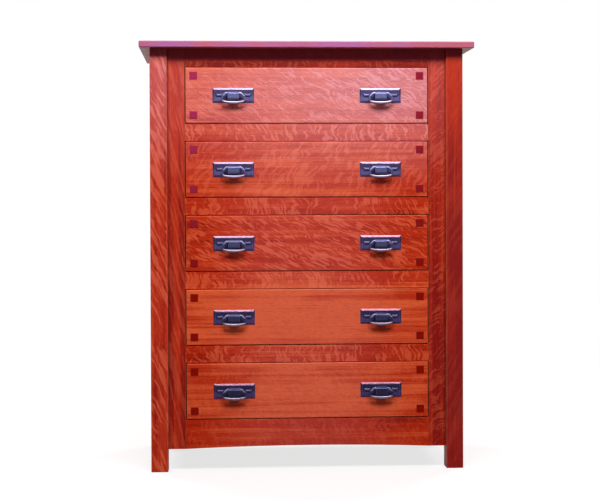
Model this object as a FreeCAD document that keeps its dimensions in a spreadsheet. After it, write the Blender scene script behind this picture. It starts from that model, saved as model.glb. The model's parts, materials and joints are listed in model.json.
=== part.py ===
import FreeCAD, Part
import os
import Sketcher

# A five-drawer chest. X runs to the right, Y to the back and Z up.
# The origin is the middle of the chest's outline, on the floor. Lengths are in millimetres.

doc = FreeCAD.newDocument("chest_of_drawers")

driving_sizes = [
    # the whole chest
    ("overall_height", 1262),
    ("top_width", 983),
    ("top_depth", 508),
    ("top_thickness", 19),
    ("top_edge_round", 3),
    ("side_overhang", 30),
    ("front_overhang", 29),
    ("rear_overhang", 8),
    # posts
    ("post_size", 50),
    ("post_edge_round", 2),
    # face frame between the front posts
    ("frame_recess", 10),
    ("frame_thickness", 22),
    ("frame_bottom", 66),
    ("stile_width", 52),
    ("top_rail_height", 53.6),
    ("drawer_rail_height", 50.6),
    ("apron_height", 86),
    ("apron_arch_rise", 7),
    ("frame_edge_round", 1),
    ("tenon_length", 20),
    ("tenon_thickness", 8),
    ("tenon_shoulder", 5),
    ("joint_clearance", 0.1),
    # side frames and their panels
    ("side_recess", 10),
    ("side_frame_thickness", 22),
    ("side_top_rail_height", 80),
    ("side_bottom_rail_height", 100),
    ("side_middle_width", 60),
    ("panel_thickness", 8),
    ("groove_depth", 10),
    ("panel_clearance", 0.5),
    # back
    ("back_panel_thickness", 6),
    ("back_panel_recess", 2),
    ("back_rebate", 10),
    ("back_rail_thickness", 18),
    ("back_rail_height", 80),
    # what the drawers run on
    ("runner_thickness", 20),
    ("runner_ledge", 10),
    ("running_gap", 0.3),
    ("guide_width", 20),
    ("guide_height", 14),
    ("guide_gap", 0.5),
    ("stop_length", 15),
    ("stop_width", 18),
    ("stop_height", 24),
    # cleats and screws that hold the top
    ("cleat_width", 40),
    ("cleat_thickness", 25),
    ("top_screw_radius", 2.2),
    ("top_screw_head_radius", 4.5),
    ("top_screw_head_height", 3),
    ("top_screw_bite", 12),
    ("top_screw_end_inset", 45),
    # drawer fronts and pegs
    ("drawer_gap", 2),
    ("drawer_front_thickness", 22),
    ("drawer_front_proud", 2.5),
    ("drawer_edge_round", 2.5),
    ("peg_size", 22.5),
    ("peg_inset", 23.5),
    ("peg_depth", 12),
    ("peg_proud", 1),
    ("peg_edge_round", 0.8),
    # drawer boxes
    ("drawer_side_thickness", 12),
    ("drawer_top_space", 13),
    ("drawer_back_thickness", 12),
    ("drawer_back_inset", 14),
    ("dado_depth", 5),
    ("drawer_bottom_thickness", 6),
    ("drawer_bottom_height", 12),
    ("drawer_bottom_groove", 6),
    ("tail_length", 14),
    ("tail_wide", 24),
    ("tail_narrow", 19),
    # pulls, measured from the middle of the plate
    ("pull_spacing", 434),
    ("plate_width", 122),
    ("plate_height", 43.5),
    ("plate_thickness", 3.5),
    ("plate_rim", 1.3),
    ("plate_bevel", 5.5),
    ("ridge_length", 18.5),
    ("ridge_height", 9),
    ("ridge_rise", 2.5),
    ("ridge_slope", 2.6),
    ("ridge_end_inset", 10.5),
    ("block_width", 35),
    ("block_height", 24),
    ("block_top_drop", 12),
    ("block_reach", 20),
    ("block_brow", 4.5),
    ("block_lip_height", 5),
    ("block_lip_depth", 2),
    ("block_edge_round", 1.2),
    ("pivot_drop", 16),
    ("pivot_reach", 15),
    ("pin_radius", 2.2),
    ("pin_length", 6),
    ("pin_clearance", 0.05),
    ("pull_screw_spacing", 76.2),
    ("pull_screw_radius", 2),
    ("pull_screw_bite", 4.5),
    ("pull_screw_head_radius", 4),
    ("pull_screw_head_height", 2.5),
    ("screw_clearance", 0.1),
    # bails, measured from the pivot
    ("bail_gap", 0.3),
    ("bail_thickness", 7),
    ("bail_edge_round", 2.2),
    ("bail_hub_width", 5),
    ("bail_hub_height", 7.5),
    ("bail_half_width", 35),
    ("bail_shoulder_drop", 8),
    ("bail_arm_width", 5.8),
    ("bail_drop", 32.5),
    ("bail_bar_height", 9),
    ("bail_sag", 6),
    ("bail_inner_sag", 3),
    ("bail_corner_round", 4),
]

sizes = doc.addObject("Spreadsheet::Sheet", "sizes")
for row, (alias, amount) in enumerate(driving_sizes, start=1):
    sizes.set("A" + str(row), alias)
    sizes.set("B" + str(row), str(amount))
    sizes.setAlias("B" + str(row), alias)
doc.recompute()

# Places that several pieces share, each worked out from the driving sizes.
shared_places = [
    ("top_underside", "sizes.overall_height - sizes.top_thickness"),
    ("case_half", "sizes.top_width / 2 - sizes.side_overhang"),
    ("case_front", "sizes.front_overhang - sizes.top_depth / 2"),
    ("case_back", "sizes.top_depth / 2 - sizes.rear_overhang"),
    ("post_inside", "places.case_half - sizes.post_size"),
    ("front_post_back", "places.case_front + sizes.post_size"),
    ("rear_post_front", "places.case_back - sizes.post_size"),
    ("frame_front", "places.case_front + sizes.frame_recess"),
    ("frame_back", "places.frame_front + sizes.frame_thickness"),
    ("opening_half", "places.post_inside - sizes.stile_width"),
    ("tenon_front", "places.frame_front + (sizes.frame_thickness - sizes.tenon_thickness) / 2"),
    ("side_outer", "places.case_half - sizes.side_recess"),
    ("side_inner", "places.side_outer - sizes.side_frame_thickness"),
    ("groove_inner", "places.side_inner + (sizes.side_frame_thickness - sizes.panel_thickness) / 2"),
    ("side_middle", "(places.front_post_back + places.rear_post_front) / 2"),
    ("back_panel_back", "places.case_back - sizes.back_panel_recess"),
    ("back_panel_front", "places.back_panel_back - sizes.back_panel_thickness"),
    ("back_rail_front", "places.back_panel_front - sizes.back_rail_thickness"),
    ("front_face", "places.frame_front - sizes.drawer_front_proud"),
    ("front_back", "places.front_face + sizes.drawer_front_thickness"),
    ("drawer_half", "places.opening_half - sizes.drawer_gap"),
    ("box_back", "places.back_rail_front - sizes.stop_length - sizes.running_gap"),
    ("box_inside", "places.drawer_half - sizes.drawer_side_thickness"),
    ("runner_inner", "places.box_inside - sizes.runner_ledge"),
    ("lowest_opening", "sizes.frame_bottom + sizes.apron_height"),
]

places = doc.addObject("App::VarSet", "places")


def share_place(name, text):
    places.addProperty("App::PropertyFloat", name)
    places.setExpression(name, text)


for place_name, place_text in shared_places:
    share_place(place_name, place_text)

drawer_count = 5
share_place(
    "opening_height",
    "(places.top_underside - sizes.top_rail_height - places.lowest_opening"
    f" - {drawer_count - 1} * sizes.drawer_rail_height) / {drawer_count}",
)
share_place("opening_pitch", "places.opening_height + sizes.drawer_rail_height")
share_place("front_height", "places.opening_height - 2 * sizes.drawer_gap")
share_place("box_height", "places.front_height - sizes.drawer_top_space")
doc.recompute()


def amount_of(text):
    return float(sizes.evalExpression(text))


def opening_floor(number):
    """Lower edge of a drawer's opening; drawer 1 is the highest."""
    return f"(places.lowest_opening + {drawer_count - number} * places.opening_pitch)"


def front_floor(number):
    return f"({opening_floor(number)} + sizes.drawer_gap)"


def front_middle(number):
    return f"({front_floor(number)} + places.front_height / 2)"


# Helpers that bind a shape's sizes and place to the sheet.

quarter_turn = 90
straight_share = 0.999
touching = 1e-6


def bind_place(item, corner):
    for axis, text in zip("xyz", corner):
        item.setExpression("Placement.Base." + axis, text)


def bind_block(item, spans):
    """A block from its low and high side along X, Y and Z."""
    for side, (low, high) in zip(("Length", "Width", "Height"), spans):
        item.setExpression(side, f"({high}) - ({low})")
    bind_place(item, [low for low, high in spans])
    return item


def loose_block(name, spans):
    return bind_block(doc.addObject("Part::Box", name), spans)


def new_body(label):
    body = doc.addObject("PartDesign::Body", label)
    body.Label = label
    return body


def add_block(body, name, spans):
    return bind_block(body.newObject("PartDesign::AdditiveBox", name), spans)


def cut_block(body, name, spans):
    return bind_block(body.newObject("PartDesign::SubtractiveBox", name), spans)


def bind_rod(item, radius, length, start, axis):
    turns = {"x": FreeCAD.Vector(0, 1, 0), "y": FreeCAD.Vector(-1, 0, 0)}
    if axis in turns:
        item.Placement = FreeCAD.Placement(FreeCAD.Vector(), FreeCAD.Rotation(turns[axis], quarter_turn))
    item.setExpression("Radius", radius)
    item.setExpression("Height", length)
    bind_place(item, start)
    return item


def add_rod(body, name, radius, length, start, axis):
    return bind_rod(body.newObject("PartDesign::AdditiveCylinder", name), radius, length, start, axis)


def cut_rod(body, name, radius, length, start, axis):
    return bind_rod(body.newObject("PartDesign::SubtractiveCylinder", name), radius, length, start, axis)


def bind_wedge(item, sides):
    for side, text in sides.items():
        item.setExpression(side, text)
    return item


def round_edges(body, name, radius, wanted):
    """Rounds the edges of the body's last feature whose middle the test accepts."""
    base = body.Tip
    base.recompute(True)
    edges = enumerate(base.Shape.Edges, start=1)
    rounding = body.newObject("PartDesign::Fillet", name)
    rounding.Base = (base, [f"Edge{place}" for place, edge in edges if wanted(edge)])
    rounding.setExpression("Radius", radius)
    return rounding


def runs_along(edge, axis):
    if not isinstance(edge.Curve, Part.Line):
        return False
    return abs(getattr(edge.tangentAt(edge.FirstParameter), axis)) > straight_share


def lies_at(edge, axis, text):
    """True where the whole edge lies at one place along an axis."""
    low, high = getattr(edge.BoundBox, axis + "Min"), getattr(edge.BoundBox, axis + "Max")
    return abs(low - amount_of(text)) < touching and abs(high - amount_of(text)) < touching


def outline(body, name, plane_role, corners, bulges, offset="0"):
    """A closed sketch through the corners. A bulge is the rise of the arc that follows a corner."""
    sketch = body.newObject("Sketcher::SketchObject", name)
    plane = [feature for feature in body.Origin.OriginFeatures if feature.Role == plane_role][0]
    sketch.AttachmentSupport = [(plane, "")]
    sketch.MapMode = "FlatFace"
    sketch.setExpression("AttachmentOffset.Base.z", offset)
    spots = [FreeCAD.Vector(amount_of(across), amount_of(up), 0) for across, up in corners]
    ends = []
    for index, spot in enumerate(spots):
        following = spots[(index + 1) % len(spots)]
        if index in bulges:
            rise = amount_of(bulges[index])
            chord = following - spot
            aside = FreeCAD.Vector(chord.y, -chord.x, 0).normalize()
            crown = (spot + following) * 0.5 + aside * rise
            # a sketch's arcs run anticlockwise, so one that bends the other way is drawn from its far end
            first, last = (spot, following) if rise > 0 else (following, spot)
            edge = sketch.addGeometry(Part.Arc(first, crown, last), False)
            ends.append((edge, 1, 2) if rise > 0 else (edge, 2, 1))
        else:
            ends.append((sketch.addGeometry(Part.LineSegment(spot, following), False), 1, 2))
    for index, (edge, start, end) in enumerate(ends):
        next_edge, next_start, next_end = ends[(index + 1) % len(ends)]
        sketch.addConstraint(Sketcher.Constraint("Coincident", edge, end, next_edge, next_start))
        for kind, text, amount in zip(("DistanceX", "DistanceY"), corners[index], spots[index]):
            pinned = sketch.addConstraint(Sketcher.Constraint(kind, -1, 1, edge, start, amount))
            sketch.setExpression(f"Constraints[{pinned}]", text)
        if index in bulges:
            (across, up), (next_across, next_up) = corners[index], corners[(index + 1) % len(corners)]
            rise = bulges[index]
            half_chord = f"((({next_across}) - ({across}))^2 + (({next_up}) - ({up}))^2) / 4"
            radius = f"({half_chord} + ({rise})^2) / (2 * abs({rise}))"
            held = sketch.addConstraint(Sketcher.Constraint("Radius", edge, amount_of(radius)))
            sketch.setExpression(f"Constraints[{held}]", radius)
    return sketch


def pad_outline(body, name, sketch, length):
    pad = body.newObject("PartDesign::Pad", name)
    pad.Profile = (sketch, [""])
    pad.setExpression("Length", length)
    return pad


nodes = {}


def keep(label, item):
    item.Label = label
    nodes[label] = item
    return item


def keep_group(label, items):
    group = doc.addObject("Part::Compound", label)
    group.Links = items
    return keep(label, group)


def mirrored(name, source):
    """The same piece on the other side of the chest's middle."""
    copy = doc.addObject("Part::Mirroring", name)
    copy.Source = source
    copy.Normal = FreeCAD.Vector(1, 0, 0)
    return copy


# The top and the posts.

half_top_width = "sizes.top_width / 2"
half_top_depth = "sizes.top_depth / 2"
screw_line = "(places.side_inner - sizes.cleat_width / 2)"
top_screw_spots = [
    "(places.front_post_back + sizes.top_screw_end_inset)",
    "places.side_middle",
    "(places.rear_post_front - sizes.top_screw_end_inset)",
]


def make_top():
    body = new_body("top_panel")
    add_block(body, "top_board", [
        (f"-{half_top_width}", half_top_width),
        (f"-{half_top_depth}", half_top_depth),
        ("places.top_underside", "sizes.overall_height"),
    ])
    round_edges(body, "top_board_ease", "sizes.top_edge_round", lambda edge: True)
    pilot_depth = "sizes.top_screw_bite + sizes.joint_clearance"
    pilot_radius = "sizes.top_screw_radius + sizes.screw_clearance"
    for side, sign in (("left", "-"), ("right", "")):
        for number, spot in enumerate(top_screw_spots, start=1):
            start = [f"{sign}{screw_line}", spot, "places.top_underside"]
            cut_rod(body, f"top_pilot_{side}_{number}", pilot_radius, pilot_depth, start, "z")
    keep("top_panel", body)


def make_post(label, low_y, high_y, grooves):
    """A left-hand post; grooves are cut blocks that take the side frame or the back."""
    body = new_body(label)
    spans = [("-places.case_half", "-places.post_inside"), (low_y, high_y), ("0", "places.top_underside")]
    add_block(body, label + "_core", spans)
    round_edges(
        body, label + "_ease", "sizes.post_edge_round",
        lambda edge: runs_along(edge, "z") or lies_at(edge, "Z", "0"),
    )
    for name, groove in grooves.items():
        cut_block(body, f"{label}_{name}", groove)
    keep(label, body)
    return body


side_groove = ("-places.groove_inner - sizes.panel_thickness", "-places.groove_inner")
groove_rise = ("sizes.frame_bottom", "places.top_underside")


def make_posts():
    front = make_post("post_front_left", "places.case_front", "places.front_post_back", {
        "side_groove": [
            side_groove,
            ("places.front_post_back - sizes.groove_depth", "places.front_post_back"),
            groove_rise,
        ],
    })
    rear = make_post("post_rear_left", "places.rear_post_front", "places.case_back", {
        "side_groove": [
            side_groove,
            ("places.rear_post_front", "places.rear_post_front + sizes.groove_depth"),
            groove_rise,
        ],
        "back_rebate": [
            ("-places.post_inside - sizes.back_rebate", "-places.post_inside"),
            ("places.back_panel_front", "places.case_back"),
            groove_rise,
        ],
    })
    keep("post_front_right", mirrored("post_front_right", front))
    keep("post_rear_right", mirrored("post_rear_right", rear))


# The face frame. Each rail has a stub tenon in a mortise of each stile.

frame_depth = ("places.frame_front", "places.frame_back")
tenon_depth = ("places.tenon_front", "places.tenon_front + sizes.tenon_thickness")
mortise_depth = (
    "places.tenon_front - sizes.joint_clearance",
    "places.tenon_front + sizes.tenon_thickness + sizes.joint_clearance",
)


def rail_spans():
    """Each rail's lower and upper edge, from the apron up to the top rail."""
    spans = {"arched_apron": ("sizes.frame_bottom", "places.lowest_opening")}
    for number in range(drawer_count, 1, -1):
        low = f"{opening_floor(number)} + places.opening_height"
        spans[f"drawer_rail_{number - 1}"] = (low, opening_floor(number - 1))
    spans["top_rail"] = ("places.top_underside - sizes.top_rail_height", "places.top_underside")
    return spans


def make_stiles():
    body = new_body("stile_left")
    add_block(body, "stile_core", [
        ("-places.post_inside", "-places.opening_half"),
        frame_depth,
        ("sizes.frame_bottom", "places.top_underside"),
    ])
    round_edges(
        body, "stile_ease", "sizes.frame_edge_round",
        lambda edge: lies_at(edge, "Y", "places.frame_front") and lies_at(edge, "X", "-places.opening_half"),
    )
    for name, (low, high) in rail_spans().items():
        cut_block(body, f"mortise_{name}", [
            ("-places.opening_half - sizes.tenon_length - sizes.joint_clearance", "-places.opening_half"),
            mortise_depth,
            (
                f"{low} + sizes.tenon_shoulder - sizes.joint_clearance",
                f"{high} - sizes.tenon_shoulder + sizes.joint_clearance",
            ),
        ])
    keep("stile_left", body)
    keep("stile_right", mirrored("stile_right", body))


def make_rail(name, low, high):
    body = new_body(name)
    add_block(body, name + "_core", [
        ("-places.opening_half", "places.opening_half"), frame_depth, (low, high),
    ])
    closed_edges = ("sizes.frame_bottom", "places.top_underside")
    open_edges = [level for level in (low, high) if level not in closed_edges]
    round_edges(
        body, name + "_ease", "sizes.frame_edge_round",
        lambda edge: lies_at(edge, "Y", "places.frame_front")
        and any(lies_at(edge, "Z", level) for level in open_edges),
    )
    add_block(body, name + "_tenons", [
        ("-places.opening_half - sizes.tenon_length", "places.opening_half + sizes.tenon_length"),
        tenon_depth,
        (f"{low} + sizes.tenon_shoulder", f"{high} - sizes.tenon_shoulder"),
    ])
    return body


def make_apron(low, high):
    """The lowest rail, with its gentle arch cut from the lower edge."""
    body = make_rail("arched_apron", low, high)
    arch = outline(
        body, "arch_outline", "XZ_Plane",
        [("-places.opening_half", low), ("places.opening_half", low)],
        {0: "-sizes.apron_arch_rise"},
        "-places.frame_back",
    )
    cut = body.newObject("PartDesign::Pocket", "arch")
    cut.Profile = (arch, [""])
    cut.Reversed = True
    cut.setExpression("Length", "sizes.frame_thickness")
    return keep("arched_apron", body)


def make_face_frame():
    make_stiles()
    between = []
    for name, (low, high) in rail_spans().items():
        if name == "arched_apron":
            make_apron(low, high)
        elif name == "top_rail":
            keep(name, make_rail(name, low, high))
        else:
            between.append(make_rail(name, low, high))
    keep_group("drawer_rails", between)


# The side frames. Rails and the middle stile have stub tenons as thick as the panels.

side_depth = ("-places.side_outer", "-places.side_inner")
tongue_depth = ("-places.groove_inner - sizes.panel_thickness", "-places.groove_inner")
bay_front = "places.front_post_back"
bay_back = "places.rear_post_front"
bay_floor = "(sizes.frame_bottom + sizes.side_bottom_rail_height)"
bay_ceiling = "(places.top_underside - sizes.side_top_rail_height)"
tongue_length = "(sizes.groove_depth - sizes.panel_clearance)"
middle_front = "(places.side_middle - sizes.side_middle_width / 2)"
middle_back = "(places.side_middle + sizes.side_middle_width / 2)"


def make_side_rail(name, low, high, groove):
    body = new_body(name)
    add_block(body, name + "_core", [side_depth, (bay_front, bay_back), (low, high)])
    add_block(body, name + "_tenons", [
        tongue_depth,
        (f"{bay_front} - {tongue_length}", f"{bay_back} + {tongue_length}"),
        (low, high),
    ])
    cut_block(body, name + "_groove", [
        tongue_depth,
        (f"{bay_front} - sizes.groove_depth", f"{bay_back} + sizes.groove_depth"),
        groove,
    ])
    return body


def make_side_middle():
    body = new_body("side_middle_stile")
    add_block(body, "side_middle_core", [side_depth, (middle_front, middle_back), (bay_floor, bay_ceiling)])
    add_block(body, "side_middle_tenons", [
        tongue_depth,
        (middle_front, middle_back),
        (f"{bay_floor} - {tongue_length}", f"{bay_ceiling} + {tongue_length}"),
    ])
    rise = (f"{bay_floor} - sizes.groove_depth", f"{bay_ceiling} + sizes.groove_depth")
    cut_block(body, "side_middle_groove_front", [
        tongue_depth, (middle_front, f"{middle_front} + sizes.groove_depth"), rise,
    ])
    cut_block(body, "side_middle_groove_back", [
        tongue_depth, (f"{middle_back} - sizes.groove_depth", middle_back), rise,
    ])
    return body


def make_sides():
    lower = make_side_rail(
        "side_bottom_rail", "sizes.frame_bottom", bay_floor,
        (f"{bay_floor} - sizes.groove_depth", bay_floor),
    )
    upper = make_side_rail(
        "side_top_rail", bay_ceiling, "places.top_underside",
        (bay_ceiling, f"{bay_ceiling} + sizes.groove_depth"),
    )
    pieces = [lower, upper, make_side_middle()]
    keep_group("side_frame_left", pieces)
    keep_group("side_frame_right", [mirrored(piece.Name + "_right", piece) for piece in pieces])
    panels = []
    for name, low, high in (("front", bay_front, middle_front), ("back", middle_back, bay_back)):
        panel = loose_block(f"side_panel_{name}", [
            tongue_depth,
            (f"{low} - {tongue_length}", f"{high} + {tongue_length}"),
            (f"{bay_floor} - {tongue_length}", f"{bay_ceiling} + {tongue_length}"),
        ])
        panels += [panel, mirrored(f"side_panel_{name}_right", panel)]
    keep_group("side_panels", panels)


# The back.

def make_back():
    edge = "(places.post_inside + sizes.back_rebate - sizes.panel_clearance)"
    keep("back_panel", loose_block("back_panel", [
        (f"-{edge}", edge),
        ("places.back_panel_front", "places.back_panel_back"),
        ("sizes.frame_bottom", "places.top_underside"),
    ]))
    rails = []
    for name, low, high in (
        ("lower", "sizes.frame_bottom", "sizes.frame_bottom + sizes.back_rail_height"),
        ("upper", "places.top_underside - sizes.back_rail_height", "places.top_underside"),
    ):
        rails.append(loose_block(f"back_rail_{name}", [
            ("-places.post_inside", "places.post_inside"),
            ("places.back_rail_front", "places.back_panel_front"),
            (low, high),
        ]))
    keep_group("back_rails", rails)


# What the drawers run on, and what stops them.

def make_runners():
    runners = []
    guides = []
    stops = []
    length = ("places.frame_back", "places.back_rail_front")
    for number in range(1, drawer_count + 1):
        level = f"({front_floor(number)} - sizes.running_gap)"
        runner = loose_block(f"runner_{number}", [
            ("-places.post_inside", "-places.runner_inner"),
            length,
            (f"{level} - sizes.runner_thickness", level),
        ])
        guide_inner = "(places.drawer_half + sizes.guide_gap)"
        guide = loose_block(f"guide_{number}", [
            (f"-{guide_inner} - sizes.guide_width", f"-{guide_inner}"),
            length,
            (level, f"{level} + sizes.guide_height"),
        ])
        stop = loose_block(f"stop_{number}", [
            ("-places.drawer_half", "-places.drawer_half + sizes.stop_width"),
            ("places.back_rail_front - sizes.stop_length", "places.back_rail_front"),
            (level, f"{level} + sizes.stop_height"),
        ])
        runners += [runner, mirrored(f"runner_{number}_right", runner)]
        guides += [guide, mirrored(f"guide_{number}_right", guide)]
        stops += [stop, mirrored(f"stop_{number}_right", stop)]
    ceiling = "(places.top_underside - sizes.top_rail_height)"
    kicker = loose_block("kicker", [
        ("-places.post_inside", "-places.runner_inner"),
        length,
        (ceiling, f"{ceiling} + sizes.runner_thickness"),
    ])
    runners += [kicker, mirrored("kicker_right", kicker)]
    keep_group("drawer_runners", runners)
    keep_group("drawer_guides", guides)
    keep_group("drawer_stops", stops)


def make_cleats():
    """Cleats along the side frames, screwed up into the top."""
    cleat_floor = "(places.top_underside - sizes.cleat_thickness)"
    body = new_body("cleat_left")
    add_block(body, "cleat_core", [
        ("-places.side_inner", "-places.side_inner + sizes.cleat_width"),
        ("places.front_post_back", "places.rear_post_front"),
        (cleat_floor, "places.top_underside"),
    ])
    screws = []
    for number, spot in enumerate(top_screw_spots, start=1):
        cut_rod(
            body, f"cleat_hole_{number}", "sizes.top_screw_radius + sizes.screw_clearance",
            "sizes.cleat_thickness", [f"-{screw_line}", spot, cleat_floor], "z",
        )
        screw = new_body(f"top_screw_{number}")
        add_rod(
            screw, f"top_screw_head_{number}", "sizes.top_screw_head_radius", "sizes.top_screw_head_height",
            [f"-{screw_line}", spot, f"{cleat_floor} - sizes.top_screw_head_height"], "z",
        )
        add_rod(
            screw, f"top_screw_shank_{number}", "sizes.top_screw_radius",
            "sizes.cleat_thickness + sizes.top_screw_bite", [f"-{screw_line}", spot, cleat_floor], "z",
        )
        screws += [screw, mirrored(f"top_screw_{number}_right", screw)]
    keep_group("top_cleats", [body, mirrored("cleat_right", body)])
    keep_group("top_screws", screws)


# The drawers.

tail_shares = (0.14, 0.38, 0.62, 0.86)


def tail_sides(floor, share, grow="0"):
    """One dovetail tail: wide at its front end and narrow where it leaves the drawer's side."""
    middle = f"({floor} + {share} * places.box_height)"
    return {
        "Ymin": f"places.front_back - sizes.tail_length - {grow}",
        "Ymax": "places.front_back",
        "Zmin": f"{middle} - sizes.tail_wide / 2 - {grow}",
        "Zmax": f"{middle} + sizes.tail_wide / 2 + {grow}",
        "Z2min": f"{middle} - sizes.tail_narrow / 2 - {grow}",
        "Z2max": f"{middle} + sizes.tail_narrow / 2 + {grow}",
    }


def tail_wedge(item, across, sides):
    low, high = across
    return bind_wedge(item, {"Xmin": low, "X2min": low, "Xmax": high, "X2max": high, **sides})


def peg_spots(number):
    side = "(places.drawer_half - sizes.peg_inset)"
    low = f"({front_floor(number)} + sizes.peg_inset)"
    high = f"({front_floor(number)} + places.front_height - sizes.peg_inset)"
    return {
        "low_left": (f"-{side}", low),
        "low_right": (side, low),
        "high_left": (f"-{side}", high),
        "high_right": (side, high),
    }


def pull_middles():
    return {"left": "(-sizes.pull_spacing / 2)", "right": "(sizes.pull_spacing / 2)"}


def screw_spots(number):
    """Where the pulls' screws pass through the drawer front."""
    spots = {}
    for side, middle in pull_middles().items():
        spots[f"{side}_a"] = f"({middle} - sizes.pull_screw_spacing / 2)"
        spots[f"{side}_b"] = f"({middle} + sizes.pull_screw_spacing / 2)"
    return {name: (across, front_middle(number)) for name, across in spots.items()}


def bottom_panel_rise(number):
    floor = f"({front_floor(number)} + sizes.drawer_bottom_height)"
    return floor, f"({floor} + sizes.drawer_bottom_thickness)"


def grown(span, clearance="sizes.joint_clearance"):
    low, high = span
    return f"{low} - {clearance}", f"{high} + {clearance}"


def make_front(number):
    label = f"drawer_{number}_front"
    body = new_body(label)
    floor = front_floor(number)
    add_block(body, label + "_board", [
        ("-places.drawer_half", "places.drawer_half"),
        ("places.front_face", "places.front_back"),
        (floor, f"{floor} + places.front_height"),
    ])
    round_edges(
        body, label + "_ease", "sizes.drawer_edge_round",
        lambda edge: lies_at(edge, "Y", "places.front_face"),
    )
    for name, (across, up) in peg_spots(number).items():
        half = "sizes.peg_size / 2"
        cut_block(body, f"{label}_peg_{name}", [
            grown((f"{across} - {half}", f"{across} + {half}")),
            ("places.front_face", "places.front_face + sizes.peg_depth + sizes.joint_clearance"),
            grown((f"{up} - {half}", f"{up} + {half}")),
        ])
    for name, (across, up) in screw_spots(number).items():
        cut_rod(
            body, f"{label}_screw_{name}", "sizes.pull_screw_radius + sizes.screw_clearance",
            "sizes.drawer_front_thickness", [across, "places.front_face", up], "y",
        )
    ends = {
        "left": ("-places.drawer_half", "-places.box_inside + sizes.joint_clearance"),
        "right": ("places.box_inside - sizes.joint_clearance", "places.drawer_half"),
    }
    for side, across in ends.items():
        for place, share in enumerate(tail_shares, start=1):
            socket = body.newObject("PartDesign::SubtractiveWedge", f"{label}_socket_{side}_{place}")
            tail_wedge(socket, across, tail_sides(floor, share, "sizes.joint_clearance"))
    groove_end = "(places.box_inside + sizes.drawer_bottom_groove)"
    cut_block(body, f"{label}_bottom_groove", [
        (f"-{groove_end}", groove_end),
        ("places.front_back - sizes.drawer_bottom_groove", "places.front_back"),
        grown(bottom_panel_rise(number)),
    ])
    keep(label, body)


def make_box(number):
    """Two sides with dovetail tails, and the back that stands in their dadoes."""
    floor = front_floor(number)
    roof = f"({floor} + places.box_height)"
    panel_floor, panel_roof = bottom_panel_rise(number)
    dado_back = "(places.box_back - sizes.drawer_back_inset)"
    dado = (f"{dado_back} - sizes.drawer_back_thickness", dado_back)
    across = ("-places.drawer_half", "-places.box_inside")
    side = new_body(f"drawer_{number}_side")
    add_block(side, f"side_core_{number}", [
        across, ("places.front_back", "places.box_back"), (floor, roof),
    ])
    for place, share in enumerate(tail_shares, start=1):
        tail = side.newObject("PartDesign::AdditiveWedge", f"tail_{number}_{place}")
        tail_wedge(tail, across, tail_sides(floor, share))
    cut_block(side, f"side_groove_{number}", [
        ("-places.box_inside - sizes.drawer_bottom_groove", "-places.box_inside"),
        ("places.front_back - sizes.tail_length", "places.box_back"),
        grown((panel_floor, panel_roof)),
    ])
    cut_block(side, f"side_dado_{number}", [
        ("-places.box_inside - sizes.dado_depth", "-places.box_inside"),
        grown(dado),
        (panel_roof, roof),
    ])
    reach = "(places.box_inside + sizes.dado_depth - sizes.joint_clearance)"
    back = loose_block(f"drawer_back_{number}", [(f"-{reach}", reach), dado, (panel_roof, roof)])
    keep_group(f"drawer_{number}_box", [side, mirrored(f"drawer_{number}_side_right", side), back])


def make_bottom(number):
    edge = "(places.box_inside + sizes.drawer_bottom_groove - sizes.joint_clearance)"
    label = f"drawer_{number}_bottom"
    keep(label, loose_block(label, [
        (f"-{edge}", edge),
        ("places.front_back - sizes.drawer_bottom_groove + sizes.joint_clearance", "places.box_back"),
        bottom_panel_rise(number),
    ]))


def make_pegs(number):
    half = "sizes.peg_size / 2"
    pegs = []
    for name, (across, up) in peg_spots(number).items():
        body = new_body(f"peg_{number}_{name}")
        add_block(body, f"peg_core_{number}_{name}", [
            (f"{across} - {half}", f"{across} + {half}"),
            ("places.front_face - sizes.peg_proud", "places.front_face + sizes.peg_depth"),
            (f"{up} - {half}", f"{up} + {half}"),
        ])
        round_edges(
            body, f"peg_ease_{number}_{name}", "sizes.peg_edge_round",
            lambda edge: lies_at(edge, "Y", "places.front_face - sizes.peg_proud"),
        )
        pegs.append(body)
    keep_group(f"drawer_{number}_pegs", pegs)


# The pulls. Each plate and each bail is drawn about its own middle and then put on its drawer.

pivot_rise = "(sizes.plate_height / 2 - sizes.pivot_drop)"
block_roof = "(sizes.plate_height / 2 - sizes.block_top_drop)"
block_floor = f"({block_roof} - sizes.block_height)"


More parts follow.
